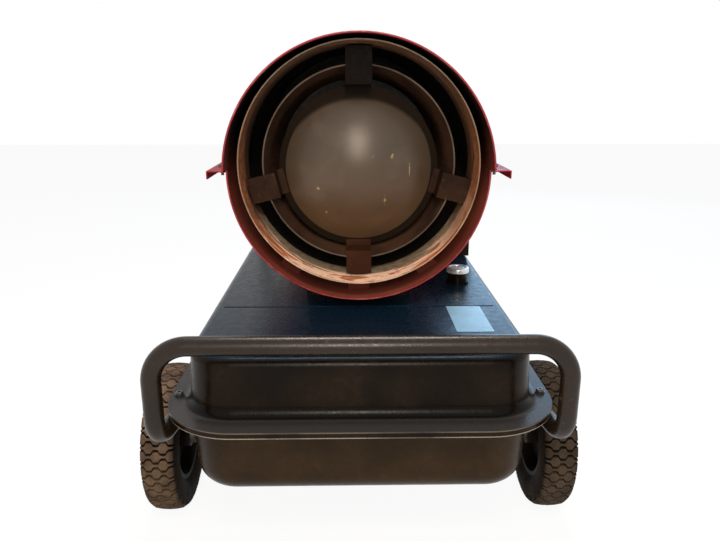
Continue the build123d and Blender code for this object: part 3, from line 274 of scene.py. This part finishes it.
# bare steel that the flame has tinted: brown with rust patches at the sides, peach and rust below, ash deeper
# in, and a painted highlight along the front edge
heatLook = {"brown": (0.075, 0.037, 0.020), "umber": (0.15, 0.075, 0.038), "rust": (0.52, 0.140, 0.040),
            "peach": (1.0, 0.66, 0.47), "patch": (0.40, 0.125, 0.042), "ash": (0.30, 0.235, 0.155),
            "darkAsh": (0.14, 0.10, 0.062), "scale": (0.035, 0.022, 0.014), "tan": (0.30, 0.22, 0.155),
            "lowTan": (0.12, 0.085, 0.056), "soot": (0.014, 0.010, 0.008), "axisZ": 0.4835, "frontY": -0.2785,
            "lowerUp": (-0.105, -0.175), "patchX": (0.09, 0.145), "patchUp": (0.11, 0.02),
            "ashDepth": (0.026, 0.036), "edgeDepth": (0.0012, 0.0004), "sootDepth": (0.0595, 0.0610),
            "streak": 34.0, "streakStretch": (0.32, 1.5, 0.32), "flake": 150.0, "broad": 11.0,
            "rough": (0.42, 0.70), "metal": 0.15, "flakeDepth": 0.0010}


def heatedSteel():
    finish, tree, shader = newFinish("heatedSteel")
    look = heatLook
    place = objectPlace(tree)
    x, y, z = split(tree, place)
    up = combine(tree, z, look["axisZ"], "SUBTRACT")
    streak = noise(tree, objectPlace(tree, look["streakStretch"]), look["streak"], 8, 0.62, 0.8)
    flake = noise(tree, place, look["flake"], 8, 0.66)
    broad = noise(tree, place, look["broad"], 4)
    lower = levels(tree, combine(tree, up, combine(tree, broad, 0.12), "SUBTRACT"), *look["lowerUp"])
    sides = ramp(tree, streak, [(0.32, look["brown"]), (0.50, look["umber"]), (0.66, look["brown"])])
    below = ramp(tree, streak, [(0.36, look["rust"]), (0.44, look["peach"]), (0.52, look["peach"]),
                                (0.56, look["rust"]), (0.61, look["rust"]), (0.66, look["peach"])])
    patch = combine(tree, levels(tree, magnitude(tree, x), *look["patchX"]),
                    levels(tree, flake, 0.47, 0.56, 0.15, 0.85))
    patch = combine(tree, patch, levels(tree, up, *look["patchUp"]))
    tint = mixColour(tree, lower, mixColour(tree, patch, sides, look["patch"]), below)
    ragged = combine(tree, combine(tree, streak, 0.5, "SUBTRACT"), 0.10)
    deep = levels(tree, combine(tree, y, ragged, "ADD"), *behind(look["frontY"], look["ashDepth"]))
    ashen = mixColour(tree, levels(tree, flake, 0.40, 0.60), look["darkAsh"], look["ash"])
    ashen = mixColour(tree, levels(tree, lower, 0.05, 0.5), look["brown"], ashen)
    tint = mixColour(tree, deep, tint, ashen)
    spots = combine(tree, levels(tree, flake, 0.58, 0.66), levels(tree, broad, 0.40, 0.60, 0.2, 0.9))
    tint = mixColour(tree, spots, tint, look["scale"])
    # painted highlight: a pale tan line along the front edge, dimmer below
    edge = combine(tree, levels(tree, y, *behind(look["frontY"], look["edgeDepth"])),
                   levels(tree, broad, 0.38, 0.60, 0.55, 0.95))
    tint = mixColour(tree, edge, tint, mixColour(tree, lower, look["lowTan"], look["tan"]))
    inside = levels(tree, y, *behind(look["frontY"], look["sootDepth"]))
    link(tree, mixColour(tree, inside, tint, look["soot"]), shader, "Base Color")
    link(tree, levels(tree, flake, 0.35, 0.65, *look["rough"]), shader, "Roughness")
    shader.inputs["Metallic"].default_value = look["metal"]
    bump(tree, shader, combine(tree, flake, combine(tree, streak, 0.7), "ADD"), look["flakeDepth"], 0.5)
    return finish


# scaled dark steel of the ring and the straps: rusty brown under soot; the lightness share makes a lighter copy
# for the ring, painted light, and a darker copy for the straps, painted shade
sootLook = {"brown": (0.042, 0.021, 0.012), "dark": (0.018, 0.010, 0.007), "rust": (0.12, 0.050, 0.022),
            "rustShare": 0.35, "edge": (0.075, 0.060, 0.046), "edgeDepth": (0.0016, 0.0006),
            "topShade": (0.0015, 0.0010, 0.0008), "topZ": (0.48, 0.57, 0.0, 0.85),
            "lowRust": (0.042, 0.013, 0.006), "lowZ": (0.44, 0.36, 0.0, 0.5), "rough": (0.42, 0.62),
            "gloss": 0.10, "strapGloss": 0.04, "broad": 26.0, "fine": 170.0, "scaleDepth": 0.0006}


def sootySteel(name, lightness, edgeY=None, darkTop=False):
    finish, tree, shader = newFinish(name)
    look = sootLook
    place = objectPlace(tree)
    x, y, z = split(tree, place)
    broad = noise(tree, place, look["broad"], 6, 0.6)
    fine = noise(tree, place, look["fine"], 6, 0.62)
    base = ramp(tree, broad, [(0.34, shaded(look["dark"], lightness)), (0.62, shaded(look["brown"], lightness))])
    rust = combine(tree, levels(tree, fine, 0.60, 0.72), look["rustShare"])
    base = mixColour(tree, rust, base, look["rust"])
    if edgeY is not None:  # a painted highlight along the front edge
        paintedEdgeHighlight = combine(tree, levels(tree, y, *behind(edgeY, look["edgeDepth"])),
                         levels(tree, broad, 0.35, 0.6, 0.3, 1.0))
        base = mixColour(tree, paintedEdgeHighlight, base, look["edge"])
    if darkTop:  # painted shade darkens the straps above the axis, and rust warms the lowest strap
        base = mixColour(tree, levels(tree, z, *look["topZ"]), base, look["topShade"])
        base = mixColour(tree, levels(tree, z, *look["lowZ"]), base, look["lowRust"])
    link(tree, base, shader, "Base Color")
    link(tree, levels(tree, fine, 0.3, 0.7, *look["rough"]), shader, "Roughness")
    shader.inputs["Specular IOR Level"].default_value = look["strapGloss" if darkTop else "gloss"]
    bump(tree, shader, combine(tree, fine, broad, "ADD"), look["scaleDepth"], 0.35)
    return finish


# the disc in the flame: olive-brown, with painted shade round the rim and a painted shadow over the top, and a
# few bright scratches
# each mark holds its x, z, squeeze across, squeeze upwards and size
burntLook = {"grey": (0.050, 0.037, 0.026), "warm": (0.080, 0.046, 0.024), "dark": (0.040, 0.026, 0.017),
             "pale": (0.105, 0.082, 0.058), "scratch": (0.62, 0.44, 0.20), "scratchShare": 0.34,
             "edge": (0.016, 0.010, 0.006), "axisZ": 0.4760, "warmUp": (0.045, -0.045), "litZ": 0.4550,
             "litReach": (0.109, 0.114), "litShare": 0.85, "rimReach": (0.0985, 0.1000), "rough": (0.34, 0.27),
             "shadeRough": 0.4, "metal": (0.25, 0.95), "gloss": 0.35, "cloud": 14.0, "fine": 230.0,
             "grainDepth": 0.0004, "ragged": 0.012,
             "marks": [(0.0445, 0.4926, 1.0, 0.8, 0.0022), (-0.0546, 0.4497, 0.8, 1.0, 0.0022),
                       (0.0685, 0.4730, 3.5, 0.30, 0.0030), (0.0353, 0.4345, 1.6, 0.4, 0.0026),
                       (0.0187, 0.4926, 1.0, 1.0, 0.0016), (-0.0436, 0.4165, 1.2, 1.0, 0.0016)]}


def burntSteel():
    finish, tree, shader = newFinish("burntSteel")
    look = burntLook
    place = objectPlace(tree)
    x, y, z = split(tree, place)
    up = combine(tree, z, look["axisZ"], "SUBTRACT")
    cloud = noise(tree, place, look["cloud"], 8, 0.55, 0.3)
    fine = noise(tree, place, look["fine"], 6, 0.65)
    lowDown = levels(tree, combine(tree, up, combine(tree, cloud, 0.05), "ADD"), *look["warmUp"])
    base = mixColour(tree, lowDown, look["grey"], look["warm"])
    base = mixColour(tree, levels(tree, cloud, 0.52, 0.72, 0.0, 0.5), base, look["pale"])
    base = mixColour(tree, levels(tree, cloud, 0.46, 0.28, 0.0, 0.6), base, look["dark"])
    # painted shadow over the top of the disc and painted shade round its rim
    span = distance(tree, x, combine(tree, z, look["litZ"], "SUBTRACT"))
    shade = levels(tree, span, *look["litReach"], 0.0, look["litShare"])
    shade = combine(tree, shade, levels(tree, distance(tree, x, up), *look["rimReach"]), "MAXIMUM")
    base = mixColour(tree, shade, base, look["edge"])
    ragged = combine(tree, combine(tree, fine, 0.5, "SUBTRACT"), look["ragged"])
    for markX, markZ, wide, tall, size in look["marks"]:
        near = addNode(tree, "ShaderNodeVectorMath", {0: objectPlace(tree, (wide, 0, tall), (markX, 0, markZ))},
                       operation="LENGTH").outputs["Value"]
        near = combine(tree, near, ragged, "ADD")
        mark = levels(tree, near, size, size * 0.3, 0.0, look["scratchShare"])
        base = mixColour(tree, mark, base, look["scratch"])
    link(tree, base, shader, "Base Color")
    rough = levels(tree, cloud, 0.3, 0.7, *look["rough"])
    link(tree, combine(tree, rough, combine(tree, shade, look["shadeRough"]), "ADD"), shader, "Roughness")
    link(tree, levels(tree, shade, 0, 1, *look["metal"]), shader, "Metallic")
    shader.inputs["Specular IOR Level"].default_value = look["gloss"]
    bump(tree, shader, combine(tree, fine, combine(tree, cloud, 1.5), "ADD"), look["grainDepth"], 0.25)
    return finish


# plain finishes share their grain; a darker share of the colour breaks up the flat areas
plainLook = {"metalBroad": 25.0, "metalDark": 0.72, "plasticBroad": 30.0, "plasticDark": 0.8,
             "grainDepth": 0.0003, "pointer": (0.75, 0.74, 0.70), "pointerDepth": 0.0003}


def plainMetal(name, colour, rough, metallic=1.0, grain=150.0, spots=0.25, spotColour=(0.2, 0.14, 0.1)):
    finish, tree, shader = newFinish(name)
    place = objectPlace(tree)
    broad = noise(tree, place, plainLook["metalBroad"], 5)
    fine = noise(tree, place, grain, 5, 0.6)
    base = ramp(tree, broad, [(0.3, shaded(colour, plainLook["metalDark"])), (0.7, colour)])
    base = mixColour(tree, combine(tree, levels(tree, fine, 0.58, 0.72), spots), base, spotColour)
    link(tree, base, shader, "Base Color")
    link(tree, levels(tree, fine, 0.3, 0.7, rough - 0.08, rough + 0.1), shader, "Roughness")
    shader.inputs["Metallic"].default_value = metallic
    bump(tree, shader, fine, plainLook["grainDepth"], 0.2)
    return finish


def mouldedPlastic(name, colour, rough, grain=600.0, coat=0.0, gloss=0.5, markX=None):
    finish, tree, shader = newFinish(name)
    place = objectPlace(tree)
    broad = noise(tree, place, plainLook["plasticBroad"], 4)
    fine = noise(tree, place, grain, 3, 0.6)
    base = ramp(tree, broad, [(0.3, shaded(colour, plainLook["plasticDark"])), (0.7, colour)])
    if markX is not None:  # the raised pointer is painted white
        mark = levels(tree, split(tree, place)["X"], markX, markX + plainLook["pointerDepth"])
        base = mixColour(tree, mark, base, plainLook["pointer"])
    link(tree, base, shader, "Base Color")
    link(tree, levels(tree, fine, 0.3, 0.7, rough - 0.07, rough + 0.07), shader, "Roughness")
    shader.inputs["Coat Weight"].default_value = coat
    shader.inputs["Specular IOR Level"].default_value = gloss
    bump(tree, shader, fine, plainLook["grainDepth"], 0.25)
    return finish


# tyre rubber: brown-grey dust on the block tops, with painted light making it paler towards the top and painted
# shade making it darker on the right wheel
rubberLook = {"dust": (0.080, 0.055, 0.036), "pale": (0.150, 0.105, 0.078), "rightShadedDust": (0.046, 0.034, 0.024),
              "rubber": (0.009, 0.006, 0.004), "axleY": -0.2695, "axleZ": 0.1015, "wornReach": (0.0953, 0.0985),
              "paleUp": (0.0, 0.085), "rightX": (0.1, 0.2), "rough": (0.70, 0.90), "gloss": 0.06,
              "cloud": 40.0, "grit": 380.0, "gritDepth": 0.0010}


def tyreRubber():
    finish, tree, shader = newFinish("tyreRubber")
    look = rubberLook
    place = objectPlace(tree)
    x, y, z = split(tree, place)
    up = combine(tree, z, look["axleZ"], "SUBTRACT")
    reach = distance(tree, combine(tree, y, look["axleY"], "SUBTRACT"), up)
    cloud = noise(tree, place, look["cloud"], 6, 0.6)
    grit = noise(tree, place, look["grit"], 4, 0.6)
    worn = levels(tree, reach, *look["wornReach"])
    dusty = combine(tree, worn, levels(tree, cloud, 0.30, 0.62, 0.25, 1.0))
    dusty = combine(tree, dusty, levels(tree, grit, 0.2, 0.6, 0.6, 1.0))
    # painted light: paler towards the top
    top = mixColour(tree, levels(tree, up, *look["paleUp"]), look["dust"], look["pale"])
    # painted shade: darker dust on the right wheel
    top = mixColour(tree, levels(tree, x, *look["rightX"]), top, look["rightShadedDust"])
    link(tree, mixColour(tree, dusty, look["rubber"], top), shader, "Base Color")
    link(tree, levels(tree, cloud, 0.3, 0.7, *look["rough"]), shader, "Roughness")
    shader.inputs["Specular IOR Level"].default_value = look["gloss"]
    bump(tree, shader, grit, look["gritDepth"], 0.5)
    return finish


finishes = {
    "shell_paint": shellPaint(),
    "tank_paint": tankPaint("tankPaint"),
    "tube_paint": tubePaint(),
    "heated_steel": heatedSteel(),
    "burnt_steel": burntSteel(),
    "plain_steel": plainMetal("plainSteel", (0.48, 0.47, 0.45), 0.38),
    "fasteners": plainMetal("darkZinc", (0.16, 0.145, 0.13), 0.42, 0.85, 200.0, 0.4),
    "chrome_plate": plainMetal("chromePlate", (0.92, 0.91, 0.90), 0.30, 0.85, 90.0, 0.08, (0.4, 0.37, 0.32)),
    "brass_fittings": plainMetal("turnedBrass", (0.58, 0.42, 0.17), 0.3),
    "copper_line": plainMetal("copperTube", (0.60, 0.30, 0.17), 0.32),
    "fan_alloy": plainMetal("fanAlloy", (0.52, 0.52, 0.52), 0.42, 1.0, 180.0, 0.15),
    "motor_paint": plainMetal("motorPaint", (0.040, 0.040, 0.043), 0.45, 0.0, 240.0, 0.2, (0.10, 0.09, 0.08)),
    "ceramic": mouldedPlastic("glazedCeramic", (0.75, 0.73, 0.68), 0.22, 300.0, 0.5),
    "black_plastic": mouldedPlastic("blackPlastic", (0.020, 0.020, 0.021), 0.5),
    "switch_plastic": mouldedPlastic("switchPlastic", (0.40, 0.012, 0.014), 0.28, 700.0, 0.4),
    "board_green": mouldedPlastic("boardGreen", (0.02, 0.14, 0.05), 0.35, 200.0, 0.3),
    "filter_plastic": mouldedPlastic("filterPlastic", (0.62, 0.56, 0.40), 0.25, 300.0, 0.3),
    "tyre_rubber": tyreRubber(),
    "rim_plastic": mouldedPlastic("rimPlastic", (0.009, 0.007, 0.005), 0.6, 260.0, 0.0, 0.06),
}

# pieces whose finish differs from the rest of their slot
ownFinishes = {
    # the straps' steel is a darker copy, painted shade, and darker still above the axis
    "diffuser_tabs": sootySteel("strapSteel", 0.55, None, True),
    "chamber_brackets": mouldedPlastic("spacerPaint", (0.13, 0.032, 0.021), 0.68, 150.0, 0.0, 0.06),
    "tank_upper": tankPaint("upperTankPaint", True),
    # the lower pan: a lighter, warmer copy of the enamel, painted reflection of the floor
    "tank_lower": tankPaint("lowerTankPaint", False, "lowerDark", "lowerLight"),
    "thermostat_knob": mouldedPlastic("knobPlastic", (0.020, 0.020, 0.021), 0.45, 600.0, 0.0, 0.4, 0.2188),
    "frame_bolts": plainMetal("blackBolt", (0.030, 0.029, 0.028), 0.30, 0.0, 240.0, 0.2, (0.07, 0.06, 0.05)),
}

for part in frame["record"]["subparts"]:
    shape = nodes[part["node"]]
    shape.data.materials.clear()
    shape.data.materials.append(ownFinishes.get(part["node"], finishes[part["material_slot"]]))
print("finishes given to", len(nodes), "nodes")


# mesh helpers for the new pieces
def finishPiece(mesh, name, slot, body, smooth, finish=None):
    bmesh.ops.remove_doubles(mesh, verts=mesh.verts, dist=0.00002)
    bmesh.ops.recalc_face_normals(mesh, faces=mesh.faces)
    for face in mesh.faces:
        face.smooth = True
    for edge in mesh.edges:
        edge.smooth = edge.calc_face_angle(0) < math.radians(smooth)
    data = bpy.data.meshes.new(name)
    mesh.to_mesh(data)
    mesh.free()
    piece = bpy.data.objects.new(name, data)
    bpy.context.scene.collection.objects.link(piece)
    data.materials.append(finish or finishes[slot])
    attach(piece, body)
    return piece


def spinProfile(mesh, profile, axis, place, steps, closed=False):
    verts = [mesh.verts.new(place(*point)) for point in profile]
    edges = [mesh.edges.new(pair) for pair in zip(verts, verts[1:])]
    if closed:
        edges.append(mesh.edges.new((verts[-1], verts[0])))
    centre = place(0, 0)
    bmesh.ops.spin(mesh, geom=verts + edges, cent=centre, axis=axis, angle=math.tau, steps=steps,
                   use_merge=True, use_duplicate=False)


# tyres with wavy bars across the tread; each bar widens to pads where its neighbours narrow
# the sidewall points are measured from the bead, the shoulder points from the groove floor
tyreShape = {"centre": (0.263, -0.2695, 0.1015), "width": 0.049, "radius": 0.1015, "groove": 0.0064,
             "rimRadius": 0.0623, "steps": 136, "floorRise": 0.0006,
             "sidewall": [(0, 0.007), (0.006, 0.0032), (0.012, 0.0006), (0.0185, 0.0002), (0.024, 0.0009)],
             "shoulder": [(-0.0075, 0.0022), (-0.002, 0.0062), (0, 0.011)],
             "bars": 56, "barHalf": 0.0216, "barSteps": 24, "barRoot": 0.0125, "barTop": 0.985,
             "wave": 0.0190, "waveGain": 2.2, "pad": 0.0067, "neck": 0.0017, "draft": 0.0003,
             "crown": 0.0015, "crownHalf": 0.0165, "shoulderFall": 0.75}


def tyreCarcass(mesh, centre):
    shape = tyreShape
    half = shape["width"] / 2
    floor = shape["radius"] - shape["groove"]
    profile = [(shape["rimRadius"] + rise, -half + inset) for rise, inset in shape["sidewall"]]
    profile += [(floor + rise, -half + inset) for rise, inset in shape["shoulder"]]
    profile += [(floor + shape["floorRise"], 0)] + [(rise, -across) for rise, across in reversed(profile)]
    spinProfile(mesh, profile, (1, 0, 0), lambda rise, across: centre + Vector((across, 0, rise)),
                shape["steps"], True)


def treadHeight(across):
    shape = tyreShape
    inner = min(abs(across), shape["crownHalf"])
    fall = shape["crown"] * (inner / shape["crownHalf"]) ** 2
    return shape["radius"] - fall - (abs(across) - inner) * shape["shoulderFall"]


def treadBar(mesh, centre, turn, phase):
    shape = tyreShape
    made = bmesh.ops.create_grid(mesh, x_segments=shape["barSteps"], y_segments=1, size=1)
    faces = list({f for v in made["verts"] for f in v.link_faces})
    raised = bmesh.ops.extrude_face_region(mesh, geom=faces, use_keep_orig=True)
    top = {v for v in raised["geom"] if isinstance(v, bmesh.types.BMVert)}
    verts = list(set(made["verts"]) | top)
    middle = (shape["pad"] + shape["neck"]) / 2
    swing = (shape["pad"] - shape["neck"]) / 2
    for vert in verts:
        across = vert.co.x * shape["barHalf"]
        wave = math.cos(math.tau * across / shape["wave"] + phase)
        half = middle + swing * max(-1, min(1, shape["waveGain"] * wave))
        onTop = vert in top
        vert.co.x = across * (shape["barTop"] if onTop else 1)
        vert.co.y *= half - (shape["draft"] if onTop else -shape["draft"])
        vert.co.z = treadHeight(across) if onTop else shape["radius"] - shape["barRoot"]
    bmesh.ops.rotate(mesh, cent=(0, 0, 0), matrix=Matrix.Rotation(turn, 3, "X"), verts=verts)
    bmesh.ops.translate(mesh, vec=centre, verts=verts)


def treadTyre(name, node, body, side):
    mesh = bmesh.new()
    x, y, z = tyreShape["centre"]
    centre = Vector((side * x, y, z))
    tyreCarcass(mesh, centre)
    bars = tyreShape["bars"]
    for i in range(bars):
        treadBar(mesh, centre, math.tau * i / bars, math.pi * (i % 2))
    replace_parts(finishPiece(mesh, name, "tyre_rubber", body, 35), node)


treadTyre("left_tread_tyre", "left_tyre", "left_wheel", -1)
treadTyre("right_tread_tyre", "right_tyre", "right_wheel", 1)
print("tyres made")


# rolled hems on the front edges of the two shell halves, trimmed clear of the flanges at the split
hemShape = {"axisZ": 0.4745, "radius": 0.1697, "thick": 0.0012, "sides": 10, "upperY": -0.3005,
            "lowerY": -0.2725, "split": 0.005, "upperTrim": 0.004, "lowerTrim": 0.008, "steps": 60}


def shellHem(name, y, start, sweep, finish):
    mesh = bmesh.new()
    shape = hemShape
    made = bmesh.ops.create_circle(mesh, segments=shape["sides"], radius=shape["thick"], cap_ends=True)
    bmesh.ops.translate(mesh, vec=(shape["radius"], 0, 0), verts=made["verts"])
    bmesh.ops.rotate(mesh, cent=(0, 0, 0), matrix=Matrix.Rotation(-start, 3, "Y"), verts=made["verts"])
    bmesh.ops.spin(mesh, geom=list(mesh.faces), cent=(0, 0, 0), axis=(0, -1, 0), angle=sweep,
                   steps=shape["steps"], use_duplicate=False)
    bmesh.ops.translate(mesh, vec=(0, y, shape["axisZ"]), verts=mesh.verts)
    finishPiece(mesh, name, "shell_paint", "heater", 60, finish)


def shellHems():
    shape = hemShape
    finish = hemPaint()
    start = math.asin(shape["split"] / shape["radius"]) + shape["upperTrim"]
    trim = shape["lowerTrim"]
    shellHem("upper_shell_hem", shape["upperY"], start, math.pi - 2 * start, finish)
    shellHem("lower_shell_hem", shape["lowerY"], math.pi - start + trim, math.pi + 2 * start - 2 * trim, finish)


shellHems()
print("hems made")


def roundOutletAxis(axisZ):
    return lambda reach, y: Vector((reach, y, axisZ))


# the ring round the disc: a tube that narrows to the back, with a rolled front edge
ringShape = {"axisZ": 0.4835, "radius": 0.127, "backRadius": 0.112, "wall": 0.0015, "frontY": -0.2485,
             "length": 0.110, "roll": 0.0012, "rollTurn": 140, "rollStep": 35, "steps": 128, "lightness": 1.25}


def flameRing():
    mesh = bmesh.new()
    shape = ringShape
    half = shape["wall"] / 2
    middle = shape["radius"] - half
    narrow = shape["backRadius"] - half
    roll = shape["roll"]
    front = shape["frontY"]
    back = front + shape["length"]
    turns = [math.radians(a) for a in range(-shape["rollTurn"], shape["rollTurn"] + 1, shape["rollStep"])]
    rolled = [(middle - roll * math.sin(a), front + roll - roll * math.cos(a)) for a in turns]
    profile = [(narrow + half, back)] + rolled + [(narrow - half, back)]
    spinProfile(mesh, profile, (0, 1, 0), roundOutletAxis(shape["axisZ"]), shape["steps"], True)
    # the ring's steel is a lighter copy, painted light, with a painted highlight on its front edge
    finish = sootySteel("ringSteel", shape["lightness"], front)
    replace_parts(finishPiece(mesh, "flame_ring", "burnt_steel", "heater", 40, finish), "inner_ring")


flameRing()
print("ring made")

# the domed disc in the flame, with its flat rim
discShape = {"axisZ": 0.4760, "rimY": -0.2165, "radius": 0.100, "flat": 0.108, "bulge": 0.028, "wall": 0.002,
             "rings": 22, "steps": 120}


def flameDisc():
    mesh = bmesh.new()
    shape = discShape
    radius, bulge = shape["radius"], shape["bulge"]
    sphere = (radius ** 2 + bulge ** 2) / (2 * bulge)
    middle = shape["rimY"] - bulge + sphere
    step = shape["rimY"] + shape["wall"]
    back = sphere - shape["wall"]
    backReach = math.sqrt(back ** 2 - (middle - step) ** 2)
    shares = [i / shape["rings"] for i in range(shape["rings"] + 1)]
    front = [(radius * t, middle - math.sqrt(sphere ** 2 - (radius * t) ** 2)) for t in shares]
    rear = [(backReach * t, middle - math.sqrt(back ** 2 - (backReach * t) ** 2)) for t in reversed(shares)]
    profile = front + [(shape["flat"], shape["rimY"]), (shape["flat"], step)] + rear
    spinProfile(mesh, profile, (0, 1, 0), roundOutletAxis(shape["axisZ"]), shape["steps"])
    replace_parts(finishPiece(mesh, "flame_disc", "burnt_steel", "heater", 30), "diffuser_dome")


flameDisc()
print("disc made")

# blank metal plate on the tank, with nothing printed on it
plateShape = {"centre": (0.1445, -0.3030, 0.2870), "size": (0.047, 0.098, 0.0006), "corner": 0.002,
              "cornerSteps": 4, "foil": (0.30, 0.53, 0.69), "specks": (0.20, 0.30, 0.38)}


def blankPlate():
    mesh = bmesh.new()
    shape = plateShape
    made = bmesh.ops.create_grid(mesh, x_segments=1, y_segments=1, size=0.5)
    width, length, thick = shape["size"]
    bmesh.ops.scale(mesh, vec=(width, length, 1), verts=made["verts"])
    bmesh.ops.bevel(mesh, geom=list(mesh.verts), offset=shape["corner"], segments=shape["cornerSteps"],
                    profile=0.5, affect="VERTICES", material=-1)
    raised = bmesh.ops.extrude_face_region(mesh, geom=list(mesh.faces))
    top = [v for v in raised["geom"] if isinstance(v, bmesh.types.BMVert)]
    bmesh.ops.translate(mesh, vec=(0, 0, thick), verts=top)
    bmesh.ops.translate(mesh, vec=shape["centre"], verts=mesh.verts)
    foil = plainMetal("labelFoil", shape["foil"], 0.42, 0.15, 300.0, 0.15, shape["specks"])
    finishPiece(mesh, "blank_plate", None, "heater", 30, foil)


blankPlate()
print("plate made")


# plain light floor and background; both stay white to the camera and to reflections
stageLook = {"floor": (0.96, 0.96, 0.96, 1), "floorSize": 6.0, "glowShare": 0.92, "white": (1, 1, 1, 1),
             "sky": (0.93, 0.96, 1.0, 1), "ambient": 0.40}


def seenDirectly(tree):
    path = addNode(tree, "ShaderNodeLightPath")
    seen = combine(tree, path.outputs["Is Camera Ray"], path.outputs["Is Glossy Ray"], "MAXIMUM")
    return combine(tree, seen, path.outputs["Is Transmission Ray"], "MAXIMUM")


def clearTree(owner):
    owner.use_nodes = True
    owner.node_tree.nodes.clear()
    return owner.node_tree


def makeFloor():
    mesh = bmesh.new()
    bmesh.ops.create_grid(mesh, x_segments=1, y_segments=1, size=stageLook["floorSize"])
    data = bpy.data.meshes.new("floor")
    mesh.to_mesh(data)
    mesh.free()
    floor = bpy.data.objects.new("floor", data)
    bpy.context.scene.collection.objects.link(floor)
    finish = bpy.data.materials.new("paleFloor")
    tree = clearTree(finish)
    out = addNode(tree, "ShaderNodeOutputMaterial")
    diffuse = addNode(tree, "ShaderNodeBsdfDiffuse", {"Color": stageLook["floor"]})
    glow = addNode(tree, "ShaderNodeEmission", {"Color": stageLook["white"], "Strength": 1.0})
    share = combine(tree, seenDirectly(tree), stageLook["glowShare"])
    mix = addNode(tree, "ShaderNodeMixShader", {0: share, 1: diffuse.outputs[0], 2: glow.outputs[0]})
    tree.links.new(mix.outputs[0], out.inputs[0])
    data.materials.append(finish)


def makeWorld():
    world = bpy.data.worlds.new("studio")
    bpy.context.scene.world = world
    tree = clearTree(world)
    out = addNode(tree, "ShaderNodeOutputWorld")
    white = addNode(tree, "ShaderNodeBackground", {"Color": stageLook["white"], "Strength": 1.0})
    soft = addNode(tree, "ShaderNodeBackground", {"Color": stageLook["sky"], "Strength": stageLook["ambient"]})
    mix = addNode(tree, "ShaderNodeMixShader", {0: seenDirectly(tree), 1: soft.outputs[0], 2: white.outputs[0]})
    tree.links.new(mix.outputs[0], out.inputs[0])


# each lamp: place, target, size, power, colour, and whether reflections show it
lamps = {
    "overhead": ((0.05, 0.25, 2.2), (0, -0.3, 0.3), (0.9, 0.4), 33, (1.0, 0.95, 0.88), True),
    "frontStrip": ((0.01, -2.7, 1.25), (0, -0.2, 0.45), (0.13, 1.0), 30, (1.0, 0.91, 0.79), True),
    "blueBehind": ((1.0, 2.4, 1.1), (0.1, 0, 0.3), (1.4, 1.0), 18, (0.30, 0.62, 1.0), True),
    "lowFront": ((-0.55, -2.0, 0.10), (-0.05, -0.4, 0.2), (0.7, 0.2), 11, (1.0, 0.72, 0.46), False),
    "rimFill": ((0.0, -1.5, 1.5), (0, -0.25, 0.34), (0.5, 0.4), 20, (1.0, 0.86, 0.74), False),
}


def softLight(name, place, target, size, power, colour, reflected):
    light = bpy.data.lights.new(name, "AREA")
    light.shape = "RECTANGLE"
    light.size, light.size_y = size
    light.energy = power
    light.color = colour
    lamp = bpy.data.objects.new(name, light)
    bpy.context.scene.collection.objects.link(lamp)
    lamp.location = place
    lamp.rotation_euler = (Vector(target) - Vector(place)).to_track_quat("-Z", "Y").to_euler()
    lamp.visible_glossy = reflected


makeFloor()
makeWorld()
for name, settings in lamps.items():
    softLight(name, *settings)

# camera at the photograph's place: 650 px focal length on a 720 px wide frame
cameraSet = {"place": (-0.013, -1.1105, 0.580), "pitch": 15.66, "yaw": 0.97, "lens": 32.5, "sensor": 36,
             "nearest": 0.05}


def makeCamera():
    lens = bpy.data.cameras.new("camera")
    lens.lens = cameraSet["lens"]
    lens.sensor_width = cameraSet["sensor"]
    lens.clip_start = cameraSet["nearest"]
    camera = bpy.data.objects.new("camera", lens)
    bpy.context.scene.collection.objects.link(camera)
    camera.location = cameraSet["place"]
    turn = Matrix.Rotation(math.radians(-cameraSet["yaw"]), 4, "Z")
    tilt = Matrix.Rotation(math.radians(90 - cameraSet["pitch"]), 4, "X")
    camera.rotation_euler = (turn @ tilt).to_euler()
    bpy.context.scene.camera = camera


makeCamera()
bpy.context.scene.view_settings.view_transform = "Standard"
print("camera and lights set")
